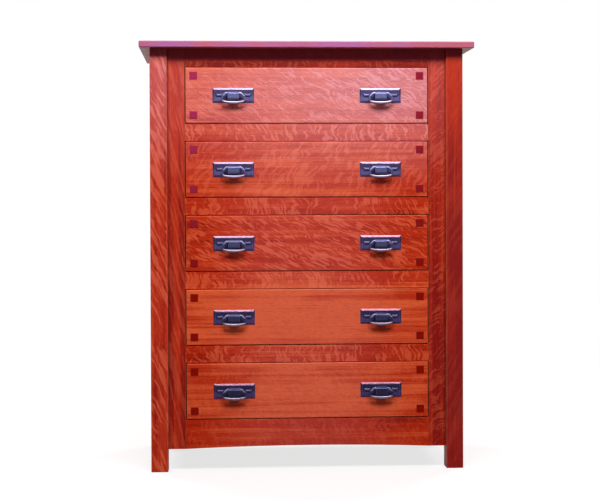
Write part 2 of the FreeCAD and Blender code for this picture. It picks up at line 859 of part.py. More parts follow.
def make_plate(label, number, middle):
    """A bevelled plate with a ridge near each end and a raised block that carries the bail."""
    body = new_body(label)
    half_wide = "sizes.plate_width / 2"
    half_tall = "sizes.plate_height / 2"
    add_block(body, label + "_rim", [
        (f"-{half_wide}", half_wide), ("-sizes.plate_rim", "0"), (f"-{half_tall}", half_tall),
    ])
    bevel = body.newObject("PartDesign::AdditiveWedge", label + "_bevel")
    bind_wedge(bevel, {
        "Xmin": f"sizes.plate_bevel - {half_wide}", "Xmax": f"{half_wide} - sizes.plate_bevel",
        "Zmin": f"sizes.plate_bevel - {half_tall}", "Zmax": f"{half_tall} - sizes.plate_bevel",
        "X2min": f"-{half_wide}", "X2max": half_wide, "Z2min": f"-{half_tall}", "Z2max": half_tall,
        "Ymin": "-sizes.plate_thickness", "Ymax": "-sizes.plate_rim",
    })
    for side, sign in (("a", -1), ("b", 1)):
        ridge_middle = f"({sign} * ({half_wide} - sizes.ridge_end_inset - sizes.ridge_length / 2))"
        ridge = body.newObject("PartDesign::AdditiveWedge", f"{label}_ridge_{side}")
        bind_wedge(ridge, {
            "Xmin": f"{ridge_middle} - sizes.ridge_length / 2 + sizes.ridge_slope",
            "Xmax": f"{ridge_middle} + sizes.ridge_length / 2 - sizes.ridge_slope",
            "Zmin": "sizes.ridge_slope - sizes.ridge_height / 2",
            "Zmax": "sizes.ridge_height / 2 - sizes.ridge_slope",
            "X2min": f"{ridge_middle} - sizes.ridge_length / 2",
            "X2max": f"{ridge_middle} + sizes.ridge_length / 2",
            "Z2min": "-sizes.ridge_height / 2", "Z2max": "sizes.ridge_height / 2",
            "Ymin": "-sizes.plate_thickness - sizes.ridge_rise", "Ymax": "-sizes.plate_thickness",
        })
    profile = outline(
        body, label + "_block_outline", "YZ_Plane",
        [
            ("-sizes.plate_rim", block_floor),
            ("-sizes.plate_rim", block_roof),
            ("-sizes.block_reach + sizes.block_brow", block_roof),
            ("-sizes.block_reach", f"{block_roof} - sizes.block_brow"),
            ("-sizes.block_reach", f"{block_floor} + sizes.block_lip_height"),
            ("-sizes.block_reach + sizes.block_lip_depth", block_floor),
        ],
        {}, "-sizes.block_width / 2",
    )
    pad_outline(body, label + "_block", profile, "sizes.block_width")
    round_edges(
        body, label + "_block_ease", "sizes.block_edge_round",
        lambda edge: edge.BoundBox.YMax < amount_of("-sizes.plate_thickness - sizes.ridge_rise"),
    )
    for side, start in (
        ("a", "-sizes.block_width / 2"),
        ("b", "sizes.block_width / 2 - sizes.pin_length"),
    ):
        cut_rod(
            body, f"{label}_pin_hole_{side}", "sizes.pin_radius + sizes.pin_clearance",
            "sizes.pin_length", [start, "-sizes.pivot_reach", pivot_rise], "x",
        )
        sign = "-" if side == "a" else ""
        cut_rod(
            body, f"{label}_screw_hole_{side}", "sizes.pull_screw_radius + sizes.screw_clearance",
            "sizes.pull_screw_bite + sizes.joint_clearance",
            [
                f"{sign}sizes.pull_screw_spacing / 2",
                "-sizes.pull_screw_bite - sizes.joint_clearance",
                "0",
            ],
            "y",
        )
    bind_place(body, [middle, "places.front_face", front_middle(number)])
    return body


def bail_corners():
    """The bail's outline, clockwise from the inner corner of its right-hand hub."""
    hub_inner = "(sizes.block_width / 2 + sizes.bail_gap)"
    hub_outer = f"({hub_inner} + sizes.bail_hub_width)"
    half_hub = "(sizes.bail_hub_height / 2)"
    outer = "sizes.bail_half_width"
    inner = "(sizes.bail_half_width - sizes.bail_arm_width)"
    bar_end = "(sizes.bail_drop - sizes.bail_sag)"
    bar_roof = "(sizes.bail_drop - sizes.bail_bar_height - sizes.bail_inner_sag)"
    shoulder = "sizes.bail_shoulder_drop"
    return [
        (hub_inner, half_hub),
        (hub_outer, half_hub),
        (outer, f"-{shoulder}"),
        (outer, f"-{bar_end}"),
        (f"-{outer}", f"-{bar_end}"),
        (f"-{outer}", f"-{shoulder}"),
        (f"-{hub_outer}", half_hub),
        (f"-{hub_inner}", half_hub),
        (f"-{hub_inner}", f"-{half_hub}"),
        (f"-{inner}", f"-{shoulder} - {half_hub}"),
        (f"-{inner}", f"-{bar_roof}"),
        (inner, f"-{bar_roof}"),
        (inner, f"-{shoulder} - {half_hub}"),
        (hub_inner, f"-{half_hub}"),
    ]


def make_bail(label, number, middle):
    """A flat cast bail with a crescent bar and two pins that turn in the plate's block."""
    body = new_body(label)
    front_outline = outline(
        body, label + "_outline", "XZ_Plane", bail_corners(),
        {3: "-sizes.bail_sag", 10: "sizes.bail_inner_sag"},
        "-sizes.bail_thickness / 2",
    )
    pad_outline(body, label + "_plate", front_outline, "sizes.bail_thickness")
    round_edges(
        body, label + "_corners", "sizes.bail_corner_round",
        lambda edge: runs_along(edge, "y") and edge.BoundBox.ZMax < 0
        and abs(edge.CenterOfMass.x) > amount_of("sizes.block_width / 2 + sizes.bail_hub_width"),
    )
    round_edges(
        body, label + "_ease", "sizes.bail_edge_round",
        lambda edge: lies_at(edge, "Y", "sizes.bail_thickness / 2")
        or lies_at(edge, "Y", "-sizes.bail_thickness / 2"),
    )
    reach = "sizes.pin_length - sizes.bail_gap"
    add_rod(
        body, label + "_pin_a", "sizes.pin_radius", f"{reach} + sizes.bail_hub_width / 2",
        ["-sizes.block_width / 2 - sizes.bail_hub_width / 2", "0", "0"], "x",
    )
    add_rod(
        body, label + "_pin_b", "sizes.pin_radius", f"{reach} + sizes.bail_hub_width / 2",
        ["sizes.block_width / 2 - sizes.pin_length + sizes.bail_gap", "0", "0"], "x",
    )
    bind_place(body, [
        middle, "places.front_face - sizes.pivot_reach", f"{front_middle(number)} + {pivot_rise}",
    ])
    keep(label, body)


def make_pull_screws(number):
    screws = []
    for name, (across, up) in screw_spots(number).items():
        screw = new_body(f"pull_screw_{number}_{name}")
        add_rod(
            screw, f"pull_screw_head_{number}_{name}", "sizes.pull_screw_head_radius",
            "sizes.pull_screw_head_height", [across, "places.front_back", up], "y",
        )
        add_rod(
            screw, f"pull_screw_shank_{number}_{name}", "sizes.pull_screw_radius",
            "sizes.drawer_front_thickness + sizes.pull_screw_bite",
            [across, "places.front_face - sizes.pull_screw_bite", up], "y",
        )
        screws.append(screw)
    keep_group(f"drawer_{number}_pull_screws", screws)


def make_drawer(number):
    make_front(number)
    make_box(number)
    make_bottom(number)
    make_pegs(number)
    plates = []
    for side, middle in pull_middles().items():
        plates.append(make_plate(f"pull_plate_{number}_{side}", number, middle))
        make_bail(f"drawer_{number}_bail_{side}", number, middle)
    keep_group(f"drawer_{number}_pull_plates", plates)
    make_pull_screws(number)


def check_and_export():
    doc.recompute()
    for item in doc.Objects:
        if "Invalid" in item.State or "Error" in item.State:
            raise RuntimeError(f"{item.Label} did not recompute: {item.State}")
    os.makedirs("parts", exist_ok=True)
    for label, item in nodes.items():
        shape = item.Shape
        if shape.isNull() or not shape.isValid() or not shape.Solids:
            raise RuntimeError(f"{label} has no valid solid")
    for label, item in nodes.items():
        item.Shape.exportStep(f"parts/{label}.step")
        print(label, len(item.Shape.Solids), "solids", f"{item.Shape.Volume:.0f} mm3")
    print(len(nodes), "nodes")


make_top()
make_posts()
make_face_frame()
make_sides()
make_back()
make_runners()
make_cleats()
for drawer in range(1, drawer_count + 1):
    make_drawer(drawer)
check_and_export()
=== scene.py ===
import bmesh
import bpy
import json
import math
from mathutils import Matrix, Vector


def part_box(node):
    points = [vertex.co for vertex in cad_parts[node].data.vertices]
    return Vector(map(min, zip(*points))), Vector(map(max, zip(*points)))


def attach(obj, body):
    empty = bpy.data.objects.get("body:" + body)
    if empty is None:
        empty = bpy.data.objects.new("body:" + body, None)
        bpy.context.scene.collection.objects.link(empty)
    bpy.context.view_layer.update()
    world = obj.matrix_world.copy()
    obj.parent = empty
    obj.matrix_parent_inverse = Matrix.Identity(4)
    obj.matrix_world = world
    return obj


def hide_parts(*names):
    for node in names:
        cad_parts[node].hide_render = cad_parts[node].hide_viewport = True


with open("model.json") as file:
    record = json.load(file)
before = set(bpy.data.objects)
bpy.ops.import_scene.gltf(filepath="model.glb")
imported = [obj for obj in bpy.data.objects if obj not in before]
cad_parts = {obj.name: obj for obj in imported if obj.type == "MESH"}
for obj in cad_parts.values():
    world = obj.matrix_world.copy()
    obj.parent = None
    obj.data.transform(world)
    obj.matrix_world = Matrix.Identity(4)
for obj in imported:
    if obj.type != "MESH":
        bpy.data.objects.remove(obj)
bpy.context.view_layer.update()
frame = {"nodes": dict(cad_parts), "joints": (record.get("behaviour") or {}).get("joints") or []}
nodes = frame["nodes"]
view = bpy.context.scene
view.view_settings.view_transform = "Standard"
drawerNumbers = range(1, 6)
mm = 0.001
print("frame loaded:", len(nodes), "pieces")


# Short forms for building node trees

def addNode(tree, kind, feeds=None, **properties):
    node = tree.nodes.new(kind)
    for label, value in properties.items():
        setattr(node, label, value)
    for label, value in (feeds or {}).items():
        socket = node.inputs[label]
        if isinstance(value, bpy.types.NodeSocket):
            tree.links.new(value, socket)
        else:
            socket.default_value = value
    return node


def maths(tree, operation, *terms):
    return addNode(tree, "ShaderNodeMath", dict(enumerate(terms)), operation=operation).outputs[0]


def plus(tree, first, second):
    return maths(tree, "ADD", first, second)


def minus(tree, first, second):
    return maths(tree, "SUBTRACT", first, second)


def times(tree, first, second):
    return maths(tree, "MULTIPLY", first, second)


def timesPlus(tree, first, second, third):
    return maths(tree, "MULTIPLY_ADD", first, second, third)


def sway(tree, value, amount, base):
    # the base, moved by how far a value lies from one half
    return timesPlus(tree, minus(tree, value, 0.5), amount, base)


def pile(tree, base, marks, shares):
    # the base, with a share of each mark added to it
    for name, share in shares.items():
        base = timesPlus(tree, marks[name], share, base)
    return base


def vectorMaths(tree, operation, *terms):
    node = addNode(tree, "ShaderNodeVectorMath", dict(enumerate(terms)), operation=operation)
    return node.outputs["Value" if operation in ("DOT_PRODUCT", "LENGTH") else "Vector"]


def scaled(tree, spot, share):
    return addNode(tree, "ShaderNodeVectorMath", {0: spot, "Scale": share}, operation="SCALE").outputs[0]


def vector(tree, first=0, second=0, third=0):
    return addNode(tree, "ShaderNodeCombineXYZ", {0: first, 1: second, 2: third}).outputs[0]


def ownPlace(tree):
    return addNode(tree, "ShaderNodeTexCoord").outputs["Object"]


def fade(tree, value, low, high, start=0.0, end=1.0):
    feeds = {"Value": value, "From Min": low, "From Max": high, "To Min": start, "To Max": end}
    return addNode(tree, "ShaderNodeMapRange", feeds, interpolation_type="SMOOTHSTEP").outputs["Result"]


def mixColours(tree, share, first, second):
    return addNode(tree, "ShaderNodeMix", {0: share, 6: first, 7: second}, data_type="RGBA").outputs[2]


def mixVectors(tree, share, first, second):
    return addNode(tree, "ShaderNodeMix", {0: share, 4: first, 5: second}, data_type="VECTOR").outputs[1]


def split(tree, spot):
    return addNode(tree, "ShaderNodeSeparateXYZ", {0: spot}).outputs


def cloud(tree, spot, stretch, detail=2.0, roughness=0.5, distortion=0.0):
    # noise whose cells are 1 / stretch metres long along each axis; a look lists stretch, detail and so on
    feeds = {
        "Vector": vectorMaths(tree, "MULTIPLY", spot, stretch), "Scale": 1.0, "Detail": detail,
        "Roughness": roughness, "Distortion": distortion,
    }
    return addNode(tree, "ShaderNodeTexNoise", feeds).outputs["Fac"]


def newTree(name, kind, wants, gives):
    # an input is given as the name of its kind, or as the number that it holds until it is set
    tree = bpy.data.node_groups.new(name, kind)
    for label, value in wants.items():
        socketKind = value if isinstance(value, str) else type(value).__name__.capitalize()
        socket = tree.interface.new_socket(label, in_out="INPUT", socket_type="NodeSocket" + socketKind)
        if socketKind != value:
            socket.default_value = value
    for label, socketKind in gives.items():
        tree.interface.new_socket(label, in_out="OUTPUT", socket_type="NodeSocket" + socketKind)
    return tree, tree.nodes.new("NodeGroupInput").outputs, tree.nodes.new("NodeGroupOutput").inputs


def newFinish(name):
    material = bpy.data.materials.new(name)
    material.use_nodes = True
    tree = material.node_tree
    return material, tree, tree.nodes["Principled BSDF"]


def fillShader(tree, shader, look, colour, roughness, height):
    # colour, roughness and bump vary over a surface; what is the same all over is set on its own socket
    tree.links.new(colour, shader.inputs["Base Color"])
    tree.links.new(roughness, shader.inputs["Roughness"])
    feeds = {"Height": height, "Strength": look["bump"]["strength"], "Distance": look["bump"]["distance"]}
    tree.links.new(addNode(tree, "ShaderNodeBump", feeds).outputs["Normal"], shader.inputs["Normal"])
    for label, value in look["fixed"].items():
        shader.inputs[label].default_value = value


def layMarks(tree, shader, look, colour, marks):
    # roughness and height are made up of shares of the marks on a surface
    rough = pile(tree, look["rough"], marks, look["roughShares"])
    fillShader(tree, shader, look, colour, rough, pile(tree, 0.0, marks, look["heightShares"]))


def giveFinish(label, material):
    for slot in nodes[label].material_slots:
        slot.material = material


# Quarter-sawn oak. A spot on a board is given as along the grain, across the face and into the board.

oakLook = {
    "deep": (0.23, 0.0025, 0.001, 1), "body": (0.46, 0.024, 0.004, 1), "pale": (0.69, 0.108, 0.034, 1),
    "fleck": (0.76, 0.145, 0.055, 1), "pore": (0.13, 0.004, 0.002, 1), "rubbed": (0.78, 0.180, 0.085, 1),
    "paintedSheen": (0.80, 0.42, 0.50, 1), "endTone": 0.5, "fleckShare": 0.5, "poreShare": 0.4,
    # how the rays show: ribbons, the dark lines beside them, and dashes
    "wanderNoise": ((8, 18, 18), 2), "wander": 0.06, "rippleNoise": ((30, 50, 50), 1), "ripple": 0.024,
    "patchNoise": ((13, 28, 28), 2), "patchShare": 0.6, "ribbonNoise": ((125, 22, 22), 1), "ribbonFrom": 0.52,
    "ribbonFade": (-0.03, 0.13), "lineBeside": 0.05, "lineFade": (0.0, 0.04, 1.0, 0.0), "lineShade": 0.2,
    "dashNoise": ((62, 330, 330), 1), "dashFade": (0.58, 0.70),
    # rings, pores and slow changes along a board
    "bandNoise": ((0.9, 60, 60), 3, 0.6), "bandFade": (0.3, 0.7), "streakNoise": ((3.5, 260, 260), 3, 0.65),
    "streakShare": 0.6, "driftNoise": ((5, 12, 12), 1), "driftShare": 0.7, "poreNoise": ((55, 1500, 1500), 0),
    "poreFade": (0.60, 0.68), "poreOnFleck": -0.12,
    # where the finish is worn, where a sheen is painted on the upper front, and where light is painted paler
    # towards the top and the middle
    "edgeWidth": 3.2 * mm, "rubNoise": ((40, 40, 40), 3, 0.6), "rubFade": (0.38, 0.62, 0.25, 0.5),
    "paintedSheenRise": (0.80, 1.15), "paintedSheenAcross": (-0.55, 0.4, 0.2, 1.0), "paintedSheenPlain": 0.85, "paintedSheenOnFleck": 0.9,
    "paintedLightRise": (0.1, 1.2), "litMiddleFade": (0.08, 0.34, 1.0, 0.0), "litMiddleShade": 0.15, "litMiddleSheen": 0.05,
    "rough": 0.36, "roughShares": {"streak": 0.16, "pore": 0.20, "fleck": -0.05},
    "heightShares": {"fleck": 0.2, "streak": 0.35, "pore": -0.9},
    "bump": {"strength": 0.3, "distance": 0.3 * mm},
    "fixed": {"Specular IOR Level": 0.2, "Specular Tint": (1.0, 0.5, 0.35, 1)},
}


def makeOakTree():
    look = oakLook
    wants = {
        "Spot": "Vector", "Lean": 0.0, "Pitch": 1.0, "Short": 1.0, "Ribbons": 0.5, "Dashes": 0.5,
        "Bands": 0.5, "Shade": 0.0, "Tone": 1.0, "Endwise": 0.0, "Edge": 0.0, "Painted Sheen": 0.0,
    }
    gives = {"Colour": "Color", "Roughness": "Float", "Height": "Float"}
    tree, want, give = newTree("quarterSawnOak", "ShaderNodeTree", wants, gives)
    spot = want["Spot"]
    along, across, depth = split(tree, spot)

    # the rays cross the grain in ribbons, at a slant that wanders along the board
    slanted = timesPlus(tree, across, want["Lean"], along)
    slanted = sway(tree, cloud(tree, spot, *look["wanderNoise"]), look["wander"], slanted)
    slanted = sway(tree, cloud(tree, spot, *look["rippleNoise"]), look["ripple"], slanted)
    raySpot = vector(tree, slanted, times(tree, across, want["Short"]), depth)
    pitched = scaled(tree, raySpot, want["Pitch"])
    patch = cloud(tree, spot, *look["patchNoise"])
    ribbonFrom = sway(tree, patch, -look["patchShare"], look["ribbonFrom"])
    lift = minus(tree, cloud(tree, pitched, *look["ribbonNoise"]), ribbonFrom)
    ribbon = times(tree, fade(tree, lift, *look["ribbonFade"]), want["Ribbons"])
    # a thin dark line runs beside each ribbon
    line = fade(tree, maths(tree, "ABSOLUTE", plus(tree, lift, look["lineBeside"])), *look["lineFade"])
    line = times(tree, line, want["Ribbons"])
    dash = fade(tree, cloud(tree, raySpot, *look["dashNoise"]), *look["dashFade"])
    dash = times(tree, dash, want["Dashes"])
    fleck = maths(tree, "MINIMUM", plus(tree, ribbon, dash), 1.0)

    # growth rings show as straight lines along the board
    band = fade(tree, cloud(tree, spot, *look["bandNoise"]), *look["bandFade"])
    streak = cloud(tree, spot, *look["streakNoise"])
    drift = cloud(tree, spot, *look["driftNoise"])
    poreField = cloud(tree, spot, *look["poreNoise"])
    pore = fade(tree, timesPlus(tree, fleck, look["poreOnFleck"], poreField), *look["poreFade"])

    shade = sway(tree, band, want["Bands"], 0.5)
    shade = sway(tree, streak, look["streakShare"], shade)
    shade = sway(tree, drift, look["driftShare"], shade)
    shade = timesPlus(tree, line, -look["lineShade"], shade)
    shade = plus(tree, shade, want["Shade"])
    wood = mixColours(tree, fade(tree, shade, 0.0, 0.5), look["deep"], look["body"])
    wood = mixColours(tree, fade(tree, shade, 0.5, 1.0), wood, look["pale"])
    wood = mixColours(tree, times(tree, fleck, look["fleckShare"]), wood, look["fleck"])
    wood = mixColours(tree, times(tree, pore, look["poreShare"]), wood, look["pore"])
    # the stain is rubbed thin along the edges, and a lavender sheen is painted on the upper front
    rub = fade(tree, cloud(tree, spot, *look["rubNoise"]), *look["rubFade"])
    wood = mixColours(tree, times(tree, rub, want["Edge"]), wood, look["rubbed"])
    paintedSheen = times(tree, want["Painted Sheen"], timesPlus(tree, fleck, look["paintedSheenOnFleck"], look["paintedSheenPlain"]))
    wood = mixColours(tree, paintedSheen, wood, look["paintedSheen"])
    endShade = minus(tree, 1.0, times(tree, want["Endwise"], 1 - look["endTone"]))
    tree.links.new(scaled(tree, wood, times(tree, want["Tone"], endShade)), give["Colour"])

    marks = {"streak": streak, "pore": pore, "fleck": fleck}
    tree.links.new(pile(tree, look["rough"], marks, look["roughShares"]), give["Roughness"])
    tree.links.new(pile(tree, 0.0, marks, look["heightShares"]), give["Height"])
    return tree


oakTree = makeOakTree()


# Boards lay the oak along their own grain

boardAxes = {"depthShare": 0.35, "endwiseFade": (0.6, 0.9)}


def rowOf(tree, rows, parts):
    return maths(tree, "FLOOR", maths(tree, "DIVIDE", parts[rows["axis"]], rows["pitch"]))


def boardSpot(tree, grain, start, rows=None):
    # turns an object's place into a board's own axes; faces on both sides of an edge share the figure
    parts = split(tree, ownPlace(tree))
    first, second = [parts[axis] for axis in "XYZ" if axis != grain]
    across = plus(tree, first, second)
    depth = times(tree, minus(tree, first, second), boardAxes["depthShare"])
    along = plus(tree, parts[grain], start)
    if rows:  # boards that share a node each start at another place in the figure
        row = rowOf(tree, rows, parts)
        along = timesPlus(tree, row, rows["shift"], along)
        depth = timesPlus(tree, row, rows["shift"], depth)
    normal = split(tree, addNode(tree, "ShaderNodeNewGeometry").outputs["True Normal"])
    endwise = fade(tree, maths(tree, "ABSOLUTE", normal[grain]), *boardAxes["endwiseFade"])
    return vector(tree, along, across, depth), endwise


def crossGrain(tree, look):
    # boards of two directions in one node: the cross boards lie beyond a pair of limits on one axis
    spot, endwise = boardSpot(tree, look["grain"], look["start"], look.get("rows"))
    cross = look.get("cross")
    if not cross:
        return spot, endwise
    otherSpot, otherEndwise = boardSpot(tree, cross["grain"], look["start"] + cross["shift"])
    place = split(tree, ownPlace(tree))[cross["axis"]]
    low, high = cross["between"]
    below, above = maths(tree, "LESS_THAN", place, low), maths(tree, "GREATER_THAN", place, high)
    beyond = maths(tree, "MAXIMUM", below, above)
    spot = mixVectors(tree, beyond, spot, otherSpot)
    endwise = timesPlus(tree, beyond, minus(tree, otherEndwise, endwise), endwise)
    return spot, endwise


def edgeOfBox(tree, label, width):
    # 1 on the edges of a board's box, where two of its faces meet, and 0 further in than the width
    parts = split(tree, ownPlace(tree))
    gaps = []
    for part, low, high in zip(parts, *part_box(label)):
        fromMiddle = maths(tree, "ABSOLUTE", minus(tree, part, (low + high) / 2))
        gaps.append(minus(tree, (high - low) / 2, fromMiddle))
    nearer = maths(tree, "MINIMUM", gaps[0], gaps[1])
    further = maths(tree, "MINIMUM", maths(tree, "MAXIMUM", gaps[0], gaps[1]), gaps[2])
    return fade(tree, maths(tree, "MAXIMUM", nearer, further), 0.0, width, 1.0, 0.0)


def makeBoard(label, look):
    material, tree, shader = newFinish("oak_" + label)
    spot, endwise = crossGrain(tree, look)
    place = split(tree, ownPlace(tree))
    tone = look["tone"]
    if "cornerShade" in look:  # painted shade: darker beside the post, and a little beside the drawers
        outward = maths(tree, "ABSOLUTE", place["X"])
        for end, width, endTone in look["cornerShade"]:
            beside = maths(tree, "ABSOLUTE", minus(tree, outward, end))
            tone = times(tree, tone, fade(tree, beside, 0.0, width, endTone, 1.0))
    # painted sheen: a pinkish lavender share, strongest high on the front and right of the middle, with a
    # steady share on top
    paintedSheen = fade(tree, place["Z"], *oakLook["paintedSheenRise"], 0.0, look["paintedSheen"])
    paintedSheen = times(tree, paintedSheen, fade(tree, place["X"], *oakLook["paintedSheenAcross"]))
    # a steady share of painted sheen all over the board
    paintedSheen = plus(tree, paintedSheen, look["paintedVeil"])
    # painted light: the board is paler towards the top and darker towards the bottom
    shade = fade(tree, place["Z"], *oakLook["paintedLightRise"], -look["rise"], look["rise"])
    shade = plus(tree, look["shade"], shade)
    for row, lift in look.get("rowShades", {}).items():  # a paler or darker board among those of one node
        found = maths(tree, "COMPARE", rowOf(tree, look["rows"], place), row, 0.1)
        shade = timesPlus(tree, found, lift, shade)
    if look["middle"]:  # painted light and sheen: the middle of the front is paler and pinker
        middle = fade(tree, maths(tree, "ABSOLUTE", place["X"]), *oakLook["litMiddleFade"])
        shade = timesPlus(tree, middle, oakLook["litMiddleShade"], shade)
        paintedSheen = timesPlus(tree, middle, oakLook["litMiddleSheen"], paintedSheen)
    steady = ("lean", "pitch", "ribbons", "dashes", "bands", "short")  # the same all over a board
    feeds = {name.capitalize(): look[name] for name in steady}
    feeds.update({
        "Spot": spot, "Shade": shade, "Tone": tone, "Painted Sheen": paintedSheen, "Endwise": endwise,
        "Edge": edgeOfBox(tree, label, oakLook["edgeWidth"]) if look["edge"] else 0.0,
    })
    oak = addNode(tree, "ShaderNodeGroup", feeds, node_tree=oakTree).outputs
    colour = oak["Colour"]
    if "paintedShadowFrom" in look:  # painted shadow: a dark band under the top board, where its shadow falls
        low, high = look["paintedShadowFrom"] - underTopShadowLook["soft"], look["paintedShadowFrom"] + underTopShadowLook["soft"]
        shaded = fade(tree, place["Z"], low, high, 0.0, underTopShadowLook["share"])
        colour = mixColours(tree, shaded, colour, underTopShadowLook["colour"])
    if look["paintedHaze"]:  # painted sheen: the edge of the top is violet and pink in turns
        turns = cloud(tree, vector(tree, place["X"]), *paintedHazeLook["turnNoise"])
        turns = fade(tree, turns, *paintedHazeLook["turnFade"])
        paintedHaze = mixColours(tree, turns, paintedHazeLook["violet"], paintedHazeLook["pink"])
        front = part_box(label)[0][1]
        share = fade(tree, place["Y"], front, front + paintedHazeLook["reach"], look["paintedHaze"], paintedHazeLook["beyond"])
        colour = mixColours(tree, share, colour, paintedHaze)
    gloss = {**oakLook, "fixed": {**oakLook["fixed"], **look.get("fixed", {})}}
    fillShader(tree, shader, gloss, colour, oak["Roughness"], oak["Height"])
    return material


boardUsual = {
    "grain": "X", "lean": 0.3, "pitch": 1.0, "short": 1.0, "ribbons": 0.5, "dashes": 0.3, "bands": 0.4,
    "shade": 0.0, "rise": 0.0, "tone": 1.0, "paintedSheen": 0.0, "paintedVeil": 0.0, "paintedHaze": 0.0, "edge": True,
    "middle": False,
}
# painted sheen on the front edge of the top
paintedHazeLook = {
    "violet": (0.37, 0.14, 0.39, 1), "pink": (0.46, 0.12, 0.19, 1), "turnNoise": ((4, 1, 1), 2),
    "turnFade": (0.4, 0.6), "reach": 3 * mm, "beyond": 0.08,
}
# painted shadow under the top board
underTopShadowLook = {"colour": (0.27, 0.03, 0.055, 1), "share": 0.8, "soft": 4 * mm}
stileCornerShade = ((411.5 * mm, 10 * mm, 0.5), (359.5 * mm, 6 * mm, 0.65))  # painted shade beside the post and the drawers: where, how wide and how dark
sideRails = {"axis": "Z", "between": (166 * mm, 1163 * mm), "grain": "Y", "shift": 2.3}
sideFrame = {
    "grain": "Z", "lean": 1.4, "pitch": 0.6, "ribbons": 0.35, "shade": 0.05, "cross": sideRails, "short": 1.5,
    "edge": False,
}
boardLooks = {
    "top_panel": {
        "start": 3.1, "lean": 1.2, "ribbons": 0.6, "short": 2.0, "paintedSheen": 0.12, "tone": 0.85, "paintedHaze": 0.8,
        "fixed": {"Specular IOR Level": 0.35, "Specular Tint": (1.0, 0.65, 0.95, 1)},
    },
    "post_front_left": {
        "grain": "Z", "start": 7.7, "lean": 2.0, "pitch": 0.4, "ribbons": 0.9, "rise": 0.07,
        "paintedSheen": 0.72, "paintedVeil": 0.015, "short": 2.2, "dashes": 0.5, "paintedShadowFrom": 1217 * mm,
    },
    "post_front_right": {
        "grain": "Z", "start": 11.3, "lean": -2.0, "pitch": 0.3, "ribbons": 0.12, "dashes": 0.1, "bands": 0.3,
        "shade": -0.32, "rise": 0.14, "paintedVeil": 0.022, "paintedShadowFrom": 1217 * mm,
    },
    "post_rear_left": {"grain": "Z", "start": 14.9, "lean": 1.6, "pitch": 0.4, "shade": -0.05},
    "post_rear_right": {"grain": "Z", "start": 19.2, "lean": -1.5, "pitch": 0.4, "shade": -0.15},
    "stile_left": {
        "grain": "Z", "start": 23.5, "lean": 4.0, "pitch": 0.25, "ribbons": 0.4, "shade": -0.2, "rise": 0.12,
        "paintedSheen": 0.24, "paintedVeil": 0.01, "cornerShade": stileCornerShade, "paintedShadowFrom": 1207 * mm,
    },
    "stile_right": {
        "grain": "Z", "start": 27.1, "lean": -0.8, "ribbons": 0.4, "shade": -0.2, "rise": 0.2, "paintedSheen": 0.07,
        "paintedVeil": 0.01, "cornerShade": stileCornerShade, "paintedShadowFrom": 1207 * mm,
    },
    "top_rail": {"start": 31.8, "lean": 0.2, "shade": -0.3, "edge": False, "paintedVeil": 0.025, "paintedShadowFrom": 1207 * mm},
    "drawer_rails": {
        "start": 35.6, "lean": 0.15, "ribbons": 0.8, "edge": False, "paintedSheen": 0.36, "middle": True,
        "rows": {"axis": "Z", "pitch": 217.6 * mm, "shift": 1.7}, "rowShades": {1: -0.08, 2: 0.22, 3: -0.08},
    },
    "arched_apron": {
        "start": 39.4, "lean": 0.2, "ribbons": 0.25, "shade": -0.04, "edge": False, "middle": True,
    },
    "side_frame_left": {**sideFrame, "start": 43.3},
    "side_frame_right": {**sideFrame, "start": 47.6},
    "side_panels": {
        "grain": "Z", "start": 51.1, "lean": 0.5, "pitch": 0.8, "ribbons": 0.6, "shade": -0.08, "edge": False,
        "rows": {"axis": "Y", "pitch": 2.0, "shift": 1.3},
    },
    "drawer_1_front": {
        "start": 55.9, "lean": 1.3, "ribbons": 0.55, "dashes": 0.8, "bands": 0.3, "shade": 0.22,
        "paintedSheen": 0.45, "middle": True, "paintedVeil": 0.04, "short": 1.8,
    },
    "drawer_2_front": {
        "start": 59.2, "lean": -0.5, "pitch": 0.8, "bands": 0.35, "shade": 0.15, "paintedSheen": 0.42,
        "middle": True, "short": 1.3,
    },
    "drawer_3_front": {
        "start": 63.4, "lean": 1.6, "pitch": 0.85, "ribbons": 0.9, "shade": -0.1, "middle": True,
        "short": 3.0,
    },
    "drawer_4_front": {
        "start": 67.7, "lean": 0.2, "ribbons": 0.1, "dashes": 0.15, "bands": 0.38, "shade": 0.31,
        "middle": True,
    },
    "drawer_5_front": {
        "start": 71.0, "lean": 0.4, "ribbons": 0.25, "bands": 0.32, "shade": 0.22, "middle": True,
    },
}
for label, changes in boardLooks.items():
    giveFinish(label, makeBoard(label, {**boardUsual, **changes}))
print("oak boards:", len(boardLooks))


# Pale straight-grained wood for what lies inside the case, and thin veneered boards for back and bottoms

plainWood = {
    "lineFade": (0.34, 0.66), "darkFade": (0.15, 0.58), "paleFade": (0.5, 0.95), "rough": 0.45,
    "shadeShares": {"blotch": 0.35, "line": 0.5, "fine": 0.3}, "roughShares": {"fine": 0.2},
    "heightShares": {"line": 0.3, "fine": 1.0}, "fixed": {"Specular IOR Level": 0.3},
    # the stain of the front runs a little way in
    "stain": (0.40, 0.15, 0.06, 1), "stainFade": (-184 * mm, -172 * mm, 0.7, 0.0),
}
innerLook = {
    **plainWood, "dark": (0.43, 0.27, 0.13, 1), "body": (0.58, 0.40, 0.22, 1), "pale": (0.68, 0.51, 0.31, 1),
    "lineNoise": ((1.3, 75, 75), 3, 0.6, 0.4), "fineNoise": ((7, 700, 700), 2, 0.6),
    "blotchNoise": ((5, 14, 14), 2), "endTone": 0.72, "bump": {"strength": 0.3, "distance": 0.25 * mm},
}
veneerLook = {
    **plainWood, "dark": (0.38, 0.23, 0.11, 1), "body": (0.52, 0.35, 0.20, 1), "pale": (0.63, 0.46, 0.28, 1),
    "lineNoise": ((1.1, 34, 34), 3, 0.6, 0.4), "fineNoise": ((9, 420, 420), 2, 0.6),
    "blotchNoise": ((2.2, 7, 7), 2), "endTone": 0.6, "bump": {"strength": 0.2, "distance": 0.2 * mm},
}


